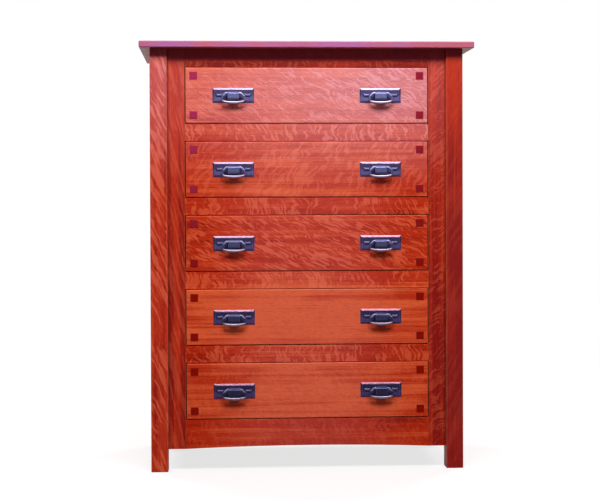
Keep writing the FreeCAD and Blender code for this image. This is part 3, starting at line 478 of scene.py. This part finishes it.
def makePlainWood(name, look, lay):
    material, tree, shader = newFinish(name)
    spot, endwise = crossGrain(tree, lay)
    marks = {
        "line": fade(tree, cloud(tree, spot, *look["lineNoise"]), *look["lineFade"]),
        "fine": cloud(tree, spot, *look["fineNoise"]),
        "blotch": cloud(tree, spot, *look["blotchNoise"]),
    }
    shade = pile(tree, 0.0, marks, look["shadeShares"])
    wood = mixColours(tree, fade(tree, shade, *look["darkFade"]), look["dark"], look["body"])
    wood = mixColours(tree, fade(tree, shade, *look["paleFade"]), wood, look["pale"])
    into = split(tree, ownPlace(tree))["Y"]
    wood = mixColours(tree, fade(tree, into, *look["stainFade"]), wood, look["stain"])
    wood = scaled(tree, wood, fade(tree, endwise, 0.0, 1.0, 1.0, look["endTone"]))
    layMarks(tree, shader, look, wood, marks)
    return material


boxSides = {"axis": "X", "between": (-345 * mm, 345 * mm), "grain": "Y", "shift": 4.1}
innerLays = {
    "drawer_runners": {"grain": "Y", "start": 2.2}, "drawer_guides": {"grain": "Y", "start": 6.1},
    "drawer_stops": {"grain": "X", "start": 9.7}, "top_cleats": {"grain": "Y", "start": 13.3},
    "back_rails": {"grain": "X", "start": 17.9},
}
for number in drawerNumbers:
    innerLays[f"drawer_{number}_box"] = {"grain": "X", "start": 20.7 + number * 3.9, "cross": boxSides}
veneerLays = {"back_panel": {"grain": "Z", "start": 5.3}}
for number in drawerNumbers:
    veneerLays[f"drawer_{number}_bottom"] = {"grain": "X", "start": 8.5 + number * 2.7}
for label, lay in innerLays.items():
    giveFinish(label, makePlainWood("innerWood_" + label, innerLook, lay))
for label, lay in veneerLays.items():
    giveFinish(label, makePlainWood("veneer_" + label, veneerLook, lay))
print("inner woods:", len(innerLays) + len(veneerLays))


# Square pegs of dark stained wood, seen on their end grain

pegLook = {
    "dark": (0.15, 0.003, 0.001, 1), "body": (0.28, 0.006, 0.002, 1), "paintedSheen": (0.38, 0.032, 0.115, 1),
    "paintedSheenRise": (0.5, 1.2, 0.0, 0.74), "paintedSheenAcross": (-0.3, 0.3, 1.0, 0.35),
    "ringCentre": (7.3 * mm, 0, 19 * mm), "ringPitch": 1.7 * mm, "ringBend": 1.2, "cell": 40 * mm,
    "wobbleNoise": ((90, 90, 90), 2), "poreNoise": ((1100, 1100, 1100), 1), "poreFade": (0.56, 0.68),
    "poreShare": 0.5, "shadeShares": {"wobble": 0.5, "ring": 0.55}, "rough": 0.40,
    "roughShares": {"pore": 0.25}, "heightShares": {"pore": -1.0, "ring": 0.4},
    "bump": {"strength": 0.3, "distance": 0.2 * mm},
    "fixed": {"Specular IOR Level": 0.12, "Specular Tint": (1.0, 0.4, 0.3, 1)},
}


def makePegWood():
    look = pegLook
    material, tree, shader = newFinish("pegWood")
    place = ownPlace(tree)
    across, _, up = split(tree, place)
    # rings round the middle of a square cell, which repeats across the fronts
    inCell = vectorMaths(tree, "ADD", vector(tree, across, 0, up), (1, 0, 1))
    inCell = vectorMaths(tree, "MODULO", inCell, (look["cell"],) * 3)
    fromCentre = vectorMaths(tree, "LENGTH", vectorMaths(tree, "SUBTRACT", inCell, look["ringCentre"]))
    wobble = cloud(tree, place, *look["wobbleNoise"])
    turns = timesPlus(tree, wobble, look["ringBend"], maths(tree, "DIVIDE", fromCentre, look["ringPitch"]))
    pore = fade(tree, cloud(tree, place, *look["poreNoise"]), *look["poreFade"])
    marks = {"wobble": wobble, "ring": maths(tree, "PINGPONG", turns, 1.0), "pore": pore}
    wood = mixColours(tree, pile(tree, 0.0, marks, look["shadeShares"]), look["dark"], look["body"])
    wood = mixColours(tree, times(tree, pore, look["poreShare"]), wood, look["dark"])
    # painted sheen on the pegs of the upper front
    paintedSheen = times(tree, fade(tree, up, *look["paintedSheenRise"]), fade(tree, across, *look["paintedSheenAcross"]))
    wood = mixColours(tree, paintedSheen, wood, look["paintedSheen"])
    layMarks(tree, shader, look, wood, marks)
    return material


pegWood = makePegWood()
for number in drawerNumbers:
    giveFinish(f"drawer_{number}_pegs", pegWood)


# Cast metal with a dark violet patina, worn bright along its edges, with a painted sheen, painted shade and
# painted highlights

pewterLook = {
    "patina": (0.042, 0.030, 0.115, 1), "deep": (0.008, 0.005, 0.028, 1), "shoulder": (0.36, 0.38, 0.64, 1),
    "bar": (0.36, 0.29, 0.38, 1), "block": (0.022, 0.024, 0.090, 1), "paintedHaze": (0.12, 0.145, 0.32, 1),
    "bevel": (0.38, 0.18, 0.25, 1), "plateFront": -221 * mm, "blockFront": -232 * mm,
    "paintedHazeRise": (0.2, 1.12, 0.0, 1.0), "paintedHazeShares": (0.25, 0.9), "rowPitch": 217.6 * mm,
    "rowMiddle": 235.5 * mm, "flatFade": (0.1, 0.4, 1.0, 0.0), "paintedUpperShade": (-6 * mm, 4 * mm, -0.75, 0.3),
    "mottleNoise": ((160, 160, 160), 3, 0.6), "grainNoise": ((1400, 1400, 1400), 2), "wornShare": 0.2,
    "deepFade": (0.35, 0.7, 0.0, 0.35), "handledAndLitShare": 0.8, "rubbedFade": (0.3, 0.6, 0.6, 1.0),
    "shoulderRise": (-13 * mm, -5 * mm), "bevelRise": (0.25, 0.45), "rough": 0.44,
    "roughShares": {"mottle": 0.14, "worn": -0.08}, "heightShares": {"grain": 1.0},
    "bump": {"strength": 0.25, "distance": 0.15 * mm}, "fixed": {"Metallic": 0.6},
}


def makePewter():
    look = pewterLook
    material, tree, shader = newFinish("pewter")
    place = ownPlace(tree)
    marks = {
        "mottle": cloud(tree, place, *look["mottleNoise"]),
        "grain": cloud(tree, place, *look["grainNoise"]),
    }
    for name in ("worn", "sunk", "handledAndLit"):  # stored on the castings as they are made
        marks[name] = addNode(tree, "ShaderNodeAttribute", attribute_name=name).outputs["Fac"]
    _, into, up = split(tree, place)
    raised = fade(tree, into, look["blockFront"], look["plateFront"], 1.0, 0.0)
    metal = mixColours(tree, raised, look["patina"], look["block"])
    # painted sheen: stronger on the upper pulls and on the blocks
    paintedHazeShare = times(tree, fade(tree, up, *look["paintedHazeRise"]), fade(tree, raised, 0.0, 1.0, *look["paintedHazeShares"]))
    metal = mixColours(tree, paintedHazeShare, metal, look["paintedHaze"])
    # height within one drawer's front, from its middle: painted shade on the upper half of a plate's flat
    # face
    fromFloor = minus(tree, up, look["rowMiddle"] - look["rowPitch"] / 2)
    inRow = minus(tree, maths(tree, "MODULO", fromFloor, look["rowPitch"]), look["rowPitch"] / 2)
    dark = times(tree, fade(tree, raised, *look["flatFade"]), fade(tree, inRow, *look["paintedUpperShade"]))
    metal = scaled(tree, metal, minus(tree, 1.0, dark))
    metal = mixColours(tree, fade(tree, marks["mottle"], *look["deepFade"]), metal, look["deep"])
    metal = mixColours(tree, marks["sunk"], metal, look["deep"])
    # the bar is worn bright by hands and painted with a highlight, the shoulders carry a painted highlight,
    # and worn edges take the same colours
    handledAndLit = times(tree, marks["handledAndLit"], look["handledAndLitShare"])
    rubbed = timesPlus(tree, marks["worn"], look["wornShare"], handledAndLit)
    rubbed = times(tree, rubbed, fade(tree, marks["mottle"], *look["rubbedFade"]))
    wornAndLitColour = mixColours(tree, fade(tree, inRow, *look["shoulderRise"]), look["bar"], look["shoulder"])
    metal = mixColours(tree, rubbed, metal, wornAndLitColour)
    # a painted highlight on the upper bevel of a plate
    rise = split(tree, addNode(tree, "ShaderNodeNewGeometry").outputs["Normal"])["Z"]
    onPlate = maths(tree, "GREATER_THAN", into, look["plateFront"])
    paintedHighlight = times(tree, fade(tree, rise, *look["bevelRise"]), onPlate)
    metal = mixColours(tree, paintedHighlight, metal, look["bevel"])
    layMarks(tree, shader, look, metal, marks)
    return material


screwLook = {
    "body": (0.50, 0.49, 0.47, 1), "dull": (0.26, 0.25, 0.24, 1), "mottleNoise": ((420, 420, 420), 3, 0.6),
    "dullFade": (0.42, 0.7), "rough": 0.28, "roughShares": {"mottle": 0.25}, "heightShares": {"mottle": 1.0},
    "bump": {"strength": 0.2, "distance": 0.1 * mm}, "fixed": {"Metallic": 1.0},
}


def makeScrewSteel():
    look = screwLook
    material, tree, shader = newFinish("screwSteel")
    mottle = cloud(tree, ownPlace(tree), *look["mottleNoise"])
    metal = mixColours(tree, fade(tree, mottle, *look["dullFade"]), look["body"], look["dull"])
    layMarks(tree, shader, look, metal, {"mottle": mottle})
    return material


pewter = makePewter()
screwSteel = makeScrewSteel()


# Pieces that geometry nodes make are read out as plain meshes

growLook = {"weldGap": 0.005 * mm, "sharpAngle": math.radians(50)}


def newPiece(name, mesh, body, stands=()):
    piece = bpy.data.objects.new(name, mesh)
    view.collection.objects.link(piece)
    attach(piece, body)
    if stands:
        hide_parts(*stands)
    return piece


def growMesh(name, mesh, modifiers):
    # runs a stack of modifiers, which may be node trees, on a mesh and gives the result as a plain mesh
    item = bpy.data.objects.new(name + "_source", mesh)
    view.collection.objects.link(item)
    for kind, settings in modifiers:
        if isinstance(kind, str):
            modifier = item.modifiers.new(kind.lower(), kind)
            for label, value in settings.items():
                setattr(modifier, label, value)
        else:
            modifier = item.modifiers.new("nodes", "NODES")
            modifier.node_group = kind
            sockets = {socket.name: socket.identifier for socket in kind.interface.items_tree}
            for label, value in settings.items():
                modifier[sockets[label]] = value
    depsgraph = bpy.context.evaluated_depsgraph_get()
    depsgraph.update()
    grown = bpy.data.meshes.new_from_object(item.evaluated_get(depsgraph))
    grown.name = name
    item.modifiers.clear()
    bpy.data.objects.remove(item)
    grown.set_sharp_from_angle(angle=growLook["sharpAngle"])
    return grown


def newMesh(name, points, edges=(), faces=()):
    mesh = bpy.data.meshes.new(name)
    mesh.from_pydata([tuple(point) for point in points], edges, faces)
    return mesh


def weldedShape(label):
    # a node's solids as a closed bmesh, because their own mesh is loose triangles
    shape = bmesh.new()
    shape.from_mesh(nodes[label].data)
    bmesh.ops.remove_doubles(shape, verts=shape.verts, dist=growLook["weldGap"])
    return shape


def shapeNode(tree, kind, feeds=None, **properties):
    return addNode(tree, "GeometryNode" + kind, feeds, **properties).outputs[0]


def mark(tree, geometry, label, value):
    feeds = {"Geometry": geometry, "Name": label, "Value": value}
    return shapeNode(tree, "StoreNamedAttribute", feeds, data_type="FLOAT", domain="POINT")


def joined(tree, parts):
    join = tree.nodes.new("GeometryNodeJoinGeometry")
    for part in parts:
        tree.links.new(part, join.inputs[0])
    return join.outputs[0]


def endTree(tree, geometry, finish, given):
    real = shapeNode(tree, "RealizeInstances", {"Geometry": geometry})
    tree.links.new(shapeNode(tree, "SetMaterial", {"Geometry": real, "Material": finish}), given)


skinLook = {"Smoothness": 0.35, "Randomness": 0.9, "level": 0.75}  # at the level a blow moves nothing


def makeSkinTree():
    # hammer blows dent the surface; the worn and sunk shares say how far a spot stands out or lies back
    wants = {
        "Metal": "Geometry", "Finish": "Material", "Blow Size": 6 * mm, "Blow Depth": 0.15 * mm, "Soften": 6,
        "Worn From": 0.02 * mm, "Worn To": 0.12 * mm,
    }
    tree, want, give = newTree("hammeredSkin", "GeometryNodeTree", wants, {"Metal": "Geometry"})
    place, normal = shapeNode(tree, "InputPosition"), shapeNode(tree, "InputNormal")
    density = maths(tree, "DIVIDE", 1.0, want["Blow Size"])
    feeds = {name: skinLook[name] for name in ("Smoothness", "Randomness")}
    feeds.update({"Vector": place, "Scale": density})
    blows = addNode(tree, "ShaderNodeTexVoronoi", feeds, feature="SMOOTH_F1").outputs["Distance"]
    dent = times(tree, minus(tree, blows, skinLook["level"]), want["Blow Depth"])
    feeds = {"Geometry": want["Metal"], "Offset": scaled(tree, normal, dent)}
    metal = shapeNode(tree, "SetPosition", feeds)
    feeds = {"Value": place, "Iterations": want["Soften"]}
    blur = shapeNode(tree, "BlurAttribute", feeds, data_type="FLOAT_VECTOR")
    proud = vectorMaths(tree, "DOT_PRODUCT", vectorMaths(tree, "SUBTRACT", place, blur), normal)
    metal = mark(tree, metal, "worn", fade(tree, proud, want["Worn From"], want["Worn To"]))
    lying = times(tree, proud, -1.0)
    metal = mark(tree, metal, "sunk", fade(tree, lying, want["Worn From"], want["Worn To"]))
    endTree(tree, metal, want["Finish"], give["Metal"])
    return tree


skinTree = makeSkinTree()


plateLook = {
    "remesh": {"mode": "VOXEL", "voxel_size": 0.7 * mm, "use_smooth_shade": True},
    "smooth": {"factor": 0.5, "iterations": 2}, "skin": {"Blow Size": 6.5 * mm, "Blow Depth": 0.22 * mm},
}


def makePullPlates(number):
    label = f"drawer_{number}_pull_plates"
    mesh, shape = nodes[label].data.copy(), weldedShape(label)
    shape.to_mesh(mesh)
    shape.free()
    modifiers = [
        ("REMESH", plateLook["remesh"]), ("SMOOTH", plateLook["smooth"]),
        (skinTree, {**plateLook["skin"], "Finish": pewter}),
    ]
    grown = growMesh(f"pullPlates_{number}", mesh, modifiers)
    newPiece(f"pullPlates_{number}", grown, f"drawer_{number}", [label])


bailLook = {
    "hubInner": 17.8 * mm, "hubOuter": 22.8 * mm, "hubDrop": 0.6 * mm, "shoulderDown": 10 * mm,
    "barEndDown": 23.5 * mm, "barMiddleDown": 28 * mm, "barPoints": 11, "bendPoints": 7,
    "corner": {"Count": 5, "Radius": 0.8}, "rod": {"Vertices": 28, "Side Segments": 6, "Fill Segments": 3},
    "sizes": {
        "Half Span": 32.1 * mm, "Bend": 5 * mm, "Step": 0.8 * mm, "Arm Width": 5.8 * mm,
        "Bar Width": 8.8 * mm, "Thickness": 7 * mm, "Hub Radius": 3.5 * mm, "Pin Radius": 2.2 * mm,
        "Pin Length": 8.4 * mm,
    },
    # heights between which the bar's wear and painted highlight and the shoulders' painted highlight begin
    "barTouch": (-22.5 * mm, -19 * mm, 1.0, 0.0), "shoulderTouch": (-10 * mm, -5 * mm, 0.0, 0.8),
    "skin": {
        "Blow Size": 7 * mm, "Blow Depth": 0.2 * mm, "Soften": 8, "Worn From": 0.25 * mm, "Worn To": 0.7 * mm,
    },
}


def makeBailTree():
    # sweeps a cushioned section along the bail's line and sets a hub and a pin at each end
    wants = {
        "Line": "Geometry", "Finish": "Material", "Centre": "Vector", "Hub Middle": 20 * mm,
        "Hub Length": 5 * mm, **bailLook["sizes"],
    }
    tree, want, give = newTree("castBail", "GeometryNodeTree", wants, {"Metal": "Geometry"})
    line = shapeNode(tree, "MeshToCurve", {"Mesh": want["Line"]})
    feeds = {"Curve": line, "Count": bailLook["bendPoints"], "Radius": want["Bend"], "Limit Radius": True}
    line = shapeNode(tree, "FilletCurve", feeds, mode="POLY")
    line = shapeNode(tree, "ResampleCurve", {"Curve": line, "Length": want["Step"]}, mode="LENGTH")
    fromCentre = vectorMaths(tree, "SUBTRACT", shapeNode(tree, "InputPosition"), want["Centre"])
    fromCentre = split(tree, fromCentre)
    sizes = ("Arm Width", "Bar Width", "Thickness", "Pin Length")
    halfArm, halfBar, halfThick, halfPin = (times(tree, want[name], 0.5) for name in sizes)
    reach = fade(tree, maths(tree, "ABSOLUTE", fromCentre["X"]), 0.0, want["Half Span"], halfBar, halfArm)
    line = mark(tree, line, "reach", reach)
    section = shapeNode(tree, "CurvePrimitiveQuadrilateral", {"Width": 2.0, "Height": 2.0})
    feeds = {"Curve": section, "Limit Radius": True, **bailLook["corner"]}
    section = shapeNode(tree, "FilletCurve", feeds, mode="POLY")
    kept = shapeNode(tree, "InputNamedAttribute", {"Name": "reach"}, data_type="FLOAT")
    feeds = {"Curve": line, "Profile Curve": section, "Scale": kept, "Fill Caps": True}
    metal = shapeNode(tree, "CurveToMesh", feeds)
    # the same thickness all along, whatever the width
    stretch = minus(tree, maths(tree, "DIVIDE", halfThick, kept), 1.0)
    push = vector(tree, 0, times(tree, fromCentre["Y"], stretch))
    metal = shapeNode(tree, "SetPosition", {"Geometry": metal, "Offset": push})
    # the bar is handled and takes a painted highlight, the shoulders a painted highlight, the arms between
    # them less so
    low = fade(tree, fromCentre["Z"], *bailLook["barTouch"])
    high = fade(tree, fromCentre["Z"], *bailLook["shoulderTouch"])
    parts = [mark(tree, metal, "handledAndLit", maths(tree, "MAXIMUM", low, high))]
    rods = (
        (want["Hub Middle"], want["Hub Radius"], want["Hub Length"]),
        (minus(tree, want["Hub Middle"], halfPin), want["Pin Radius"], want["Pin Length"]),
    )
    for side in (-1, 1):
        for middle, radius, length in rods:
            rod = shapeNode(tree, "MeshCylinder", {**bailLook["rod"], "Radius": radius, "Depth": length})
            spot = vectorMaths(tree, "ADD", want["Centre"], vector(tree, times(tree, middle, side)))
            feeds = {"Geometry": rod, "Rotation": (0, math.radians(90), 0), "Translation": spot}
            parts.append(shapeNode(tree, "Transform", feeds))
    endTree(tree, joined(tree, parts), want["Finish"], give["Metal"])
    return tree


bailTree = makeBailTree()


def bailLine(centre):
    look = bailLook
    span = look["sizes"]["Half Span"]
    half = [(look["hubInner"], 0), (look["hubOuter"], -look["hubDrop"]), (span, -look["shoulderDown"])]
    sag = look["barMiddleDown"] - look["barEndDown"]
    bar = []
    for step in range(look["barPoints"]):
        across = span * (1 - 2 * step / (look["barPoints"] - 1))
        bar.append((across, sag * (across / span) ** 2 - look["barMiddleDown"]))
    outline = half + bar + [(-across, up) for across, up in reversed(half)]
    return [centre + Vector((across, 0, up)) for across, up in outline]


def makeBail(number, side, centre):
    look = bailLook
    name = f"drawer_{number}_bail_{side}"
    feeds = {
        **look["sizes"], "Centre": tuple(centre), "Hub Middle": (look["hubInner"] + look["hubOuter"]) / 2,
        "Hub Length": look["hubOuter"] - look["hubInner"], "Finish": pewter,
    }
    points = bailLine(centre)
    line = newMesh(name + "_line", points, [(index, index + 1) for index in range(len(points) - 1)])
    modifiers = [(bailTree, feeds), (skinTree, {**look["skin"], "Finish": pewter})]
    grown = growMesh(f"bail_{number}_{side}", line, modifiers)
    newPiece(f"bail_{number}_{side}", grown, name, [name])


pivots = {joint["child"]: Vector(joint["pos_m"]) for joint in frame["joints"] if "bail" in joint["child"]}
for number in drawerNumbers:
    makePullPlates(number)
    for side in ("left", "right"):
        makeBail(number, side, pivots[f"drawer_{number}_bail_{side}"])
print("pulls made:", len(pivots))


# Slotted pan-head screws and the small nails that hold the back

panShape = {
    # a ball is cut off at the roof and the floor
    "ball": {"Segments": 32, "Rings": 20, "Radius": 1.0}, "roof": 0.82, "floor": -0.1, "slotLong": 3.0,
    "sides": 16,
}
pullScrewSizes = {
    "Head Radius": 4 * mm, "Head Height": 2.5 * mm, "Shank Radius": 2 * mm, "Shank Length": 26 * mm,
    "Slot Width": 1.1 * mm, "Slot Depth": 1.2 * mm, "Facing": (math.radians(-90), 0, 0),
}
topScrewSizes = {
    "Head Radius": 4.5 * mm, "Head Height": 3 * mm, "Shank Radius": 2.2 * mm, "Shank Length": 30 * mm,
    "Slot Width": 1.2 * mm, "Slot Depth": 1.4 * mm, "Facing": (math.radians(180), 0, 0),
}


def makeScrewTree():
    wants = {"Seats": "Geometry", "Finish": "Material", "Seed": 5, **pullScrewSizes, "Facing": "Vector"}
    tree, want, give = newTree("slottedScrews", "GeometryNodeTree", wants, {"Screws": "Geometry"})
    ball = shapeNode(tree, "MeshUVSphere", panShape["ball"])
    place = split(tree, shapeNode(tree, "InputPosition"))
    pan = maths(tree, "MAXIMUM", maths(tree, "MINIMUM", place["Z"], panShape["roof"]), panShape["floor"])
    pan = vector(tree, place["X"], place["Y"], pan)
    head = shapeNode(tree, "SetPosition", {"Geometry": ball, "Position": pan})
    tall = maths(tree, "DIVIDE", want["Head Height"], panShape["roof"])
    size = vector(tree, want["Head Radius"], want["Head Radius"], tall)
    head = shapeNode(tree, "Transform", {"Geometry": head, "Scale": size})
    slotLong = times(tree, want["Head Radius"], panShape["slotLong"])
    slotTall = times(tree, want["Slot Depth"], 2.0)  # half of it lies above the head
    slotCut = shapeNode(tree, "MeshCube", {"Size": vector(tree, slotLong, want["Slot Width"], slotTall)})
    lift = vector(tree, 0, 0, want["Head Height"])
    slotCut = shapeNode(tree, "Transform", {"Geometry": slotCut, "Translation": lift})
    feeds = {"Mesh 1": head, "Mesh 2": slotCut}
    head = shapeNode(tree, "MeshBoolean", feeds, operation="DIFFERENCE", solver="EXACT")
    feeds = {"Vertices": panShape["sides"], "Radius": want["Shank Radius"], "Depth": want["Shank Length"]}
    shank = shapeNode(tree, "MeshCylinder", feeds)
    down = vector(tree, 0, 0, times(tree, want["Shank Length"], -0.5))
    shank = shapeNode(tree, "Transform", {"Geometry": shank, "Translation": down})
    facing = addNode(tree, "FunctionNodeEulerToRotation", {0: want["Facing"]}).outputs[0]
    feeds = {"Points": want["Seats"], "Instance": joined(tree, (head, shank)), "Rotation": facing}
    placed = shapeNode(tree, "InstanceOnPoints", feeds)
    # each slot is left pointing its own way
    turn = addNode(tree, "FunctionNodeRandomValue", {3: math.pi, "Seed": want["Seed"]}).outputs[1]
    about = addNode(tree, "FunctionNodeEulerToRotation", {0: vector(tree, 0, 0, turn)}).outputs[0]
    turned = shapeNode(tree, "RotateInstances", {"Instances": placed, "Rotation": about})
    endTree(tree, turned, want["Finish"], give["Screws"])
    return tree


screwTree = makeScrewTree()


def makeScrews(name, seats, body, stands, sizes):
    feeds = {**sizes, "Finish": screwSteel}
    grown = growMesh(name, newMesh(name + "_seats", seats), [(screwTree, feeds)])
    newPiece(name, grown, body, stands)


def solidBoxes(label):
    # the lowest and highest corners of each separate solid in a node
    shape = weldedShape(label)
    left, boxes = set(shape.verts), []
    while left:
        reached = [left.pop()]
        for vertex in reached:
            beyond = [edge.other_vert(vertex) for edge in vertex.link_edges]
            fresh = [other for other in beyond if other in left]
            left.difference_update(fresh)
            reached.extend(fresh)
        places = [vertex.co for vertex in reached]
        ends = [[pick(place[axis] for place in places) for axis in range(3)] for pick in (min, max)]
        boxes.append((Vector(ends[0]), Vector(ends[1])))
    shape.free()
    return sorted(boxes, key=lambda box: tuple(box[0]))


for number in drawerNumbers:
    label = f"drawer_{number}_pull_screws"
    seats = []
    for low, high in solidBoxes(label):
        middle = (low + high) / 2
        seats.append((middle.x, high.y - pullScrewSizes["Head Height"], middle.z))
    makeScrews(f"pullScrews_{number}", seats, f"drawer_{number}", [label], pullScrewSizes)
seats = []
for low, high in solidBoxes("top_screws"):
    middle = (low + high) / 2
    seats.append((middle.x, middle.y, low.z + topScrewSizes["Head Height"]))
makeScrews("topScrews", seats, "root", ["top_screws"], topScrewSizes)


nailLook = {
    "inset": 9 * mm, "ball": {"Segments": 20, "Rings": 10, "Radius": 1.0},
    "feeds": {
        "Gap": 95 * mm, "Head Radius": 3 * mm, "Head Height": 0.7 * mm, "Facing": (math.radians(-90), 0, 0),
        "Finish": screwSteel,
    },
}


def makeNailTree():
    # nail heads a steady gap apart along a line
    wants = {"Line": "Geometry", **nailLook["feeds"], "Finish": "Material", "Facing": "Vector"}
    tree, want, give = newTree("nailRow", "GeometryNodeTree", wants, {"Nails": "Geometry"})
    line = shapeNode(tree, "MeshToCurve", {"Mesh": want["Line"]})
    line = shapeNode(tree, "ResampleCurve", {"Curve": line, "Length": want["Gap"]}, mode="LENGTH")
    ball = shapeNode(tree, "MeshUVSphere", nailLook["ball"])
    size = vector(tree, want["Head Radius"], want["Head Radius"], want["Head Height"])
    facing = addNode(tree, "FunctionNodeEulerToRotation", {0: want["Facing"]}).outputs[0]
    feeds = {"Points": line, "Instance": ball, "Rotation": facing, "Scale": size}
    endTree(tree, shapeNode(tree, "InstanceOnPoints", feeds), want["Finish"], give["Nails"])
    return tree


def makeNails():
    low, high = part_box("back_panel")
    inset, back = nailLook["inset"], high[1]
    left, right, floor, roof = low[0] + inset, high[0] - inset, low[2] + inset, high[2] - inset
    corners = [(left, back, floor), (right, back, floor), (right, back, roof), (left, back, roof)]
    line = newMesh("backNails_line", corners, [(0, 1), (1, 2), (2, 3), (3, 0)])
    grown = growMesh("backNails", line, [(makeNailTree(), nailLook["feeds"])])
    newPiece("backNails", grown, "root")


makeNails()
print("screws and nails made")


# Studio: a pale floor, a bright world behind it and soft lamps

stageLook = {
    "floorHalf": 9, "floorPale": (0.86, 0.85, 0.86, 1), "floorDim": (0.15, 0.145, 0.15, 1),
    "white": (1, 1, 1, 1), "glowFade": (0.9, 3.2, 0.75, 1.0), "behindFade": (-0.5, 0.3), "frontGlow": 0.2,
    "worldFront": 0.10, "worldSoft": 0.26, "softColour": (1.0, 0.58, 0.54, 1),
}


def behind(tree, place, front):
    # 1 behind the chest, falling to the front value before it
    return fade(tree, split(tree, place)["Y"], *stageLook["behindFade"], front, 1.0)


def raySorts(tree):
    # what the camera sees, what metal and glass show, and both
    rays = addNode(tree, "ShaderNodeLightPath").outputs
    mirrored = maths(tree, "MAXIMUM", rays["Is Glossy Ray"], rays["Is Transmission Ray"])
    return rays["Is Camera Ray"], mirrored, maths(tree, "MAXIMUM", rays["Is Camera Ray"], mirrored)


def glowNode(tree, kind, colour, strength=1.0):
    return addNode(tree, "ShaderNode" + kind, {"Color": colour, "Strength": strength}).outputs[0]


def mixGlows(tree, share, first, second):
    return addNode(tree, "ShaderNodeMixShader", {0: share, 1: first, 2: second}).outputs[0]


def makeFloor():
    look = stageLook
    half = look["floorHalf"]
    corners = [(-half, -half, 0), (half, -half, 0), (half, half, 0), (-half, half, 0)]
    mesh = newMesh("floor", corners, faces=[(0, 1, 2, 3)])
    floor = bpy.data.objects.new("floor", mesh)
    view.collection.objects.link(floor)
    material, tree, _ = newFinish("floor")
    tree.nodes.clear()
    place = ownPlace(tree)
    camera, mirrored, seen = raySorts(tree)
    pale, dim = (addNode(tree, "ShaderNodeBsdfDiffuse", {"Color": look[name]}).outputs[0]
                 for name in ("floorPale", "floorDim"))
    # paper white further off, with the chest's shadow near its feet
    glow = fade(tree, vectorMaths(tree, "LENGTH", place), *look["glowFade"])
    shown = mixGlows(tree, glow, pale, glowNode(tree, "Emission", look["white"]))
    strength = maths(tree, "MAXIMUM", camera, behind(tree, place, look["frontGlow"]))
    shown = mixGlows(tree, mirrored, shown, glowNode(tree, "Emission", look["white"], strength))
    addNode(tree, "ShaderNodeOutputMaterial", {"Surface": mixGlows(tree, seen, dim, shown)})
    mesh.materials.append(material)


def makeWorld():
    look = stageLook
    world = bpy.data.worlds.new("studio")
    view.world = world
    world.use_nodes = True
    tree = world.node_tree
    tree.nodes.clear()
    camera, _, seen = raySorts(tree)
    # polished things see the bright backdrop behind the chest and a dim room before it
    heading = addNode(tree, "ShaderNodeTexCoord").outputs["Generated"]
    strength = maths(tree, "MAXIMUM", behind(tree, heading, look["worldFront"]), camera)
    soft = glowNode(tree, "Background", look["softColour"], look["worldSoft"])
    white = glowNode(tree, "Background", look["white"], strength)
    addNode(tree, "ShaderNodeOutputWorld", {"Surface": mixGlows(tree, seen, soft, white)})


backLamp = {"aim": (0, 0, 0.6), "size": (1.2, 1.2), "power": 125, "colour": (1, 1, 1)}
lampLooks = {
    "key": {
        "at": (0.0, -2.9, 4.15), "aim": (0, 0, 0.7), "size": (3.4, 1.4), "power": 262,
        "colour": (1, 0.98, 0.97),
    },
    # a lavender sheen on the finish of the upper drawers, which fades out downwards
    "sheen": {
        "at": (0.25, -1.25, 2.42), "aim": (0.08, -0.22, 1.30), "cone": 46, "radius": 0.3, "power": 300,
        "colour": (1.0, 0.80, 0.92),
    },
    "backLeft": {**backLamp, "at": (-2.8, 3.0, 2.6)},
    "backRight": {**backLamp, "at": (2.8, 3.0, 2.6)},
}


def makeLamp(name, look):
    lamp = bpy.data.lights.new(name, "SPOT" if "cone" in look else "AREA")
    item = bpy.data.objects.new(name, lamp)
    view.collection.objects.link(item)
    lamp.energy = look["power"]
    lamp.color = look["colour"]
    if "cone" in look:  # lights the gloss alone
        lamp.spot_size = math.radians(look["cone"])
        lamp.spot_blend = 1.0
        lamp.shadow_soft_size = look["radius"]
        item.visible_diffuse = False
    else:
        lamp.shape = "RECTANGLE"
        lamp.size, lamp.size_y = look["size"]
    item.location = look["at"]
    item.rotation_euler = (Vector(look["aim"]) - Vector(look["at"])).to_track_quat("-Z", "Y").to_euler()


cameraLook = {
    "across": -0.271, "away": 4.425, "height": 0.8, "turn": 3.39, "tilt": -0.82, "roll": -0.2,
    "lens": 85.75, "sensor": 36, "shiftUp": -0.0505,
}


def makeCamera():
    look = cameraLook
    camera = bpy.data.cameras.new("camera")
    camera.sensor_width = look["sensor"]
    camera.lens = look["lens"]
    camera.shift_y = look["shiftUp"]
    item = bpy.data.objects.new("camera", camera)
    view.collection.objects.link(item)
    turn = Matrix.Rotation(math.radians(-look["turn"]), 4, "Z")
    tilt = Matrix.Rotation(math.radians(90 + look["tilt"]), 4, "X")
    roll = Matrix.Rotation(math.radians(look["roll"]), 4, "Z")
    place = Matrix.Translation((look["across"], -look["away"], look["height"]))
    item.matrix_world = place @ turn @ tilt @ roll
    view.camera = item


makeFloor()
makeWorld()
for label, look in lampLooks.items():
    makeLamp(label, look)
makeCamera()
print("studio ready")
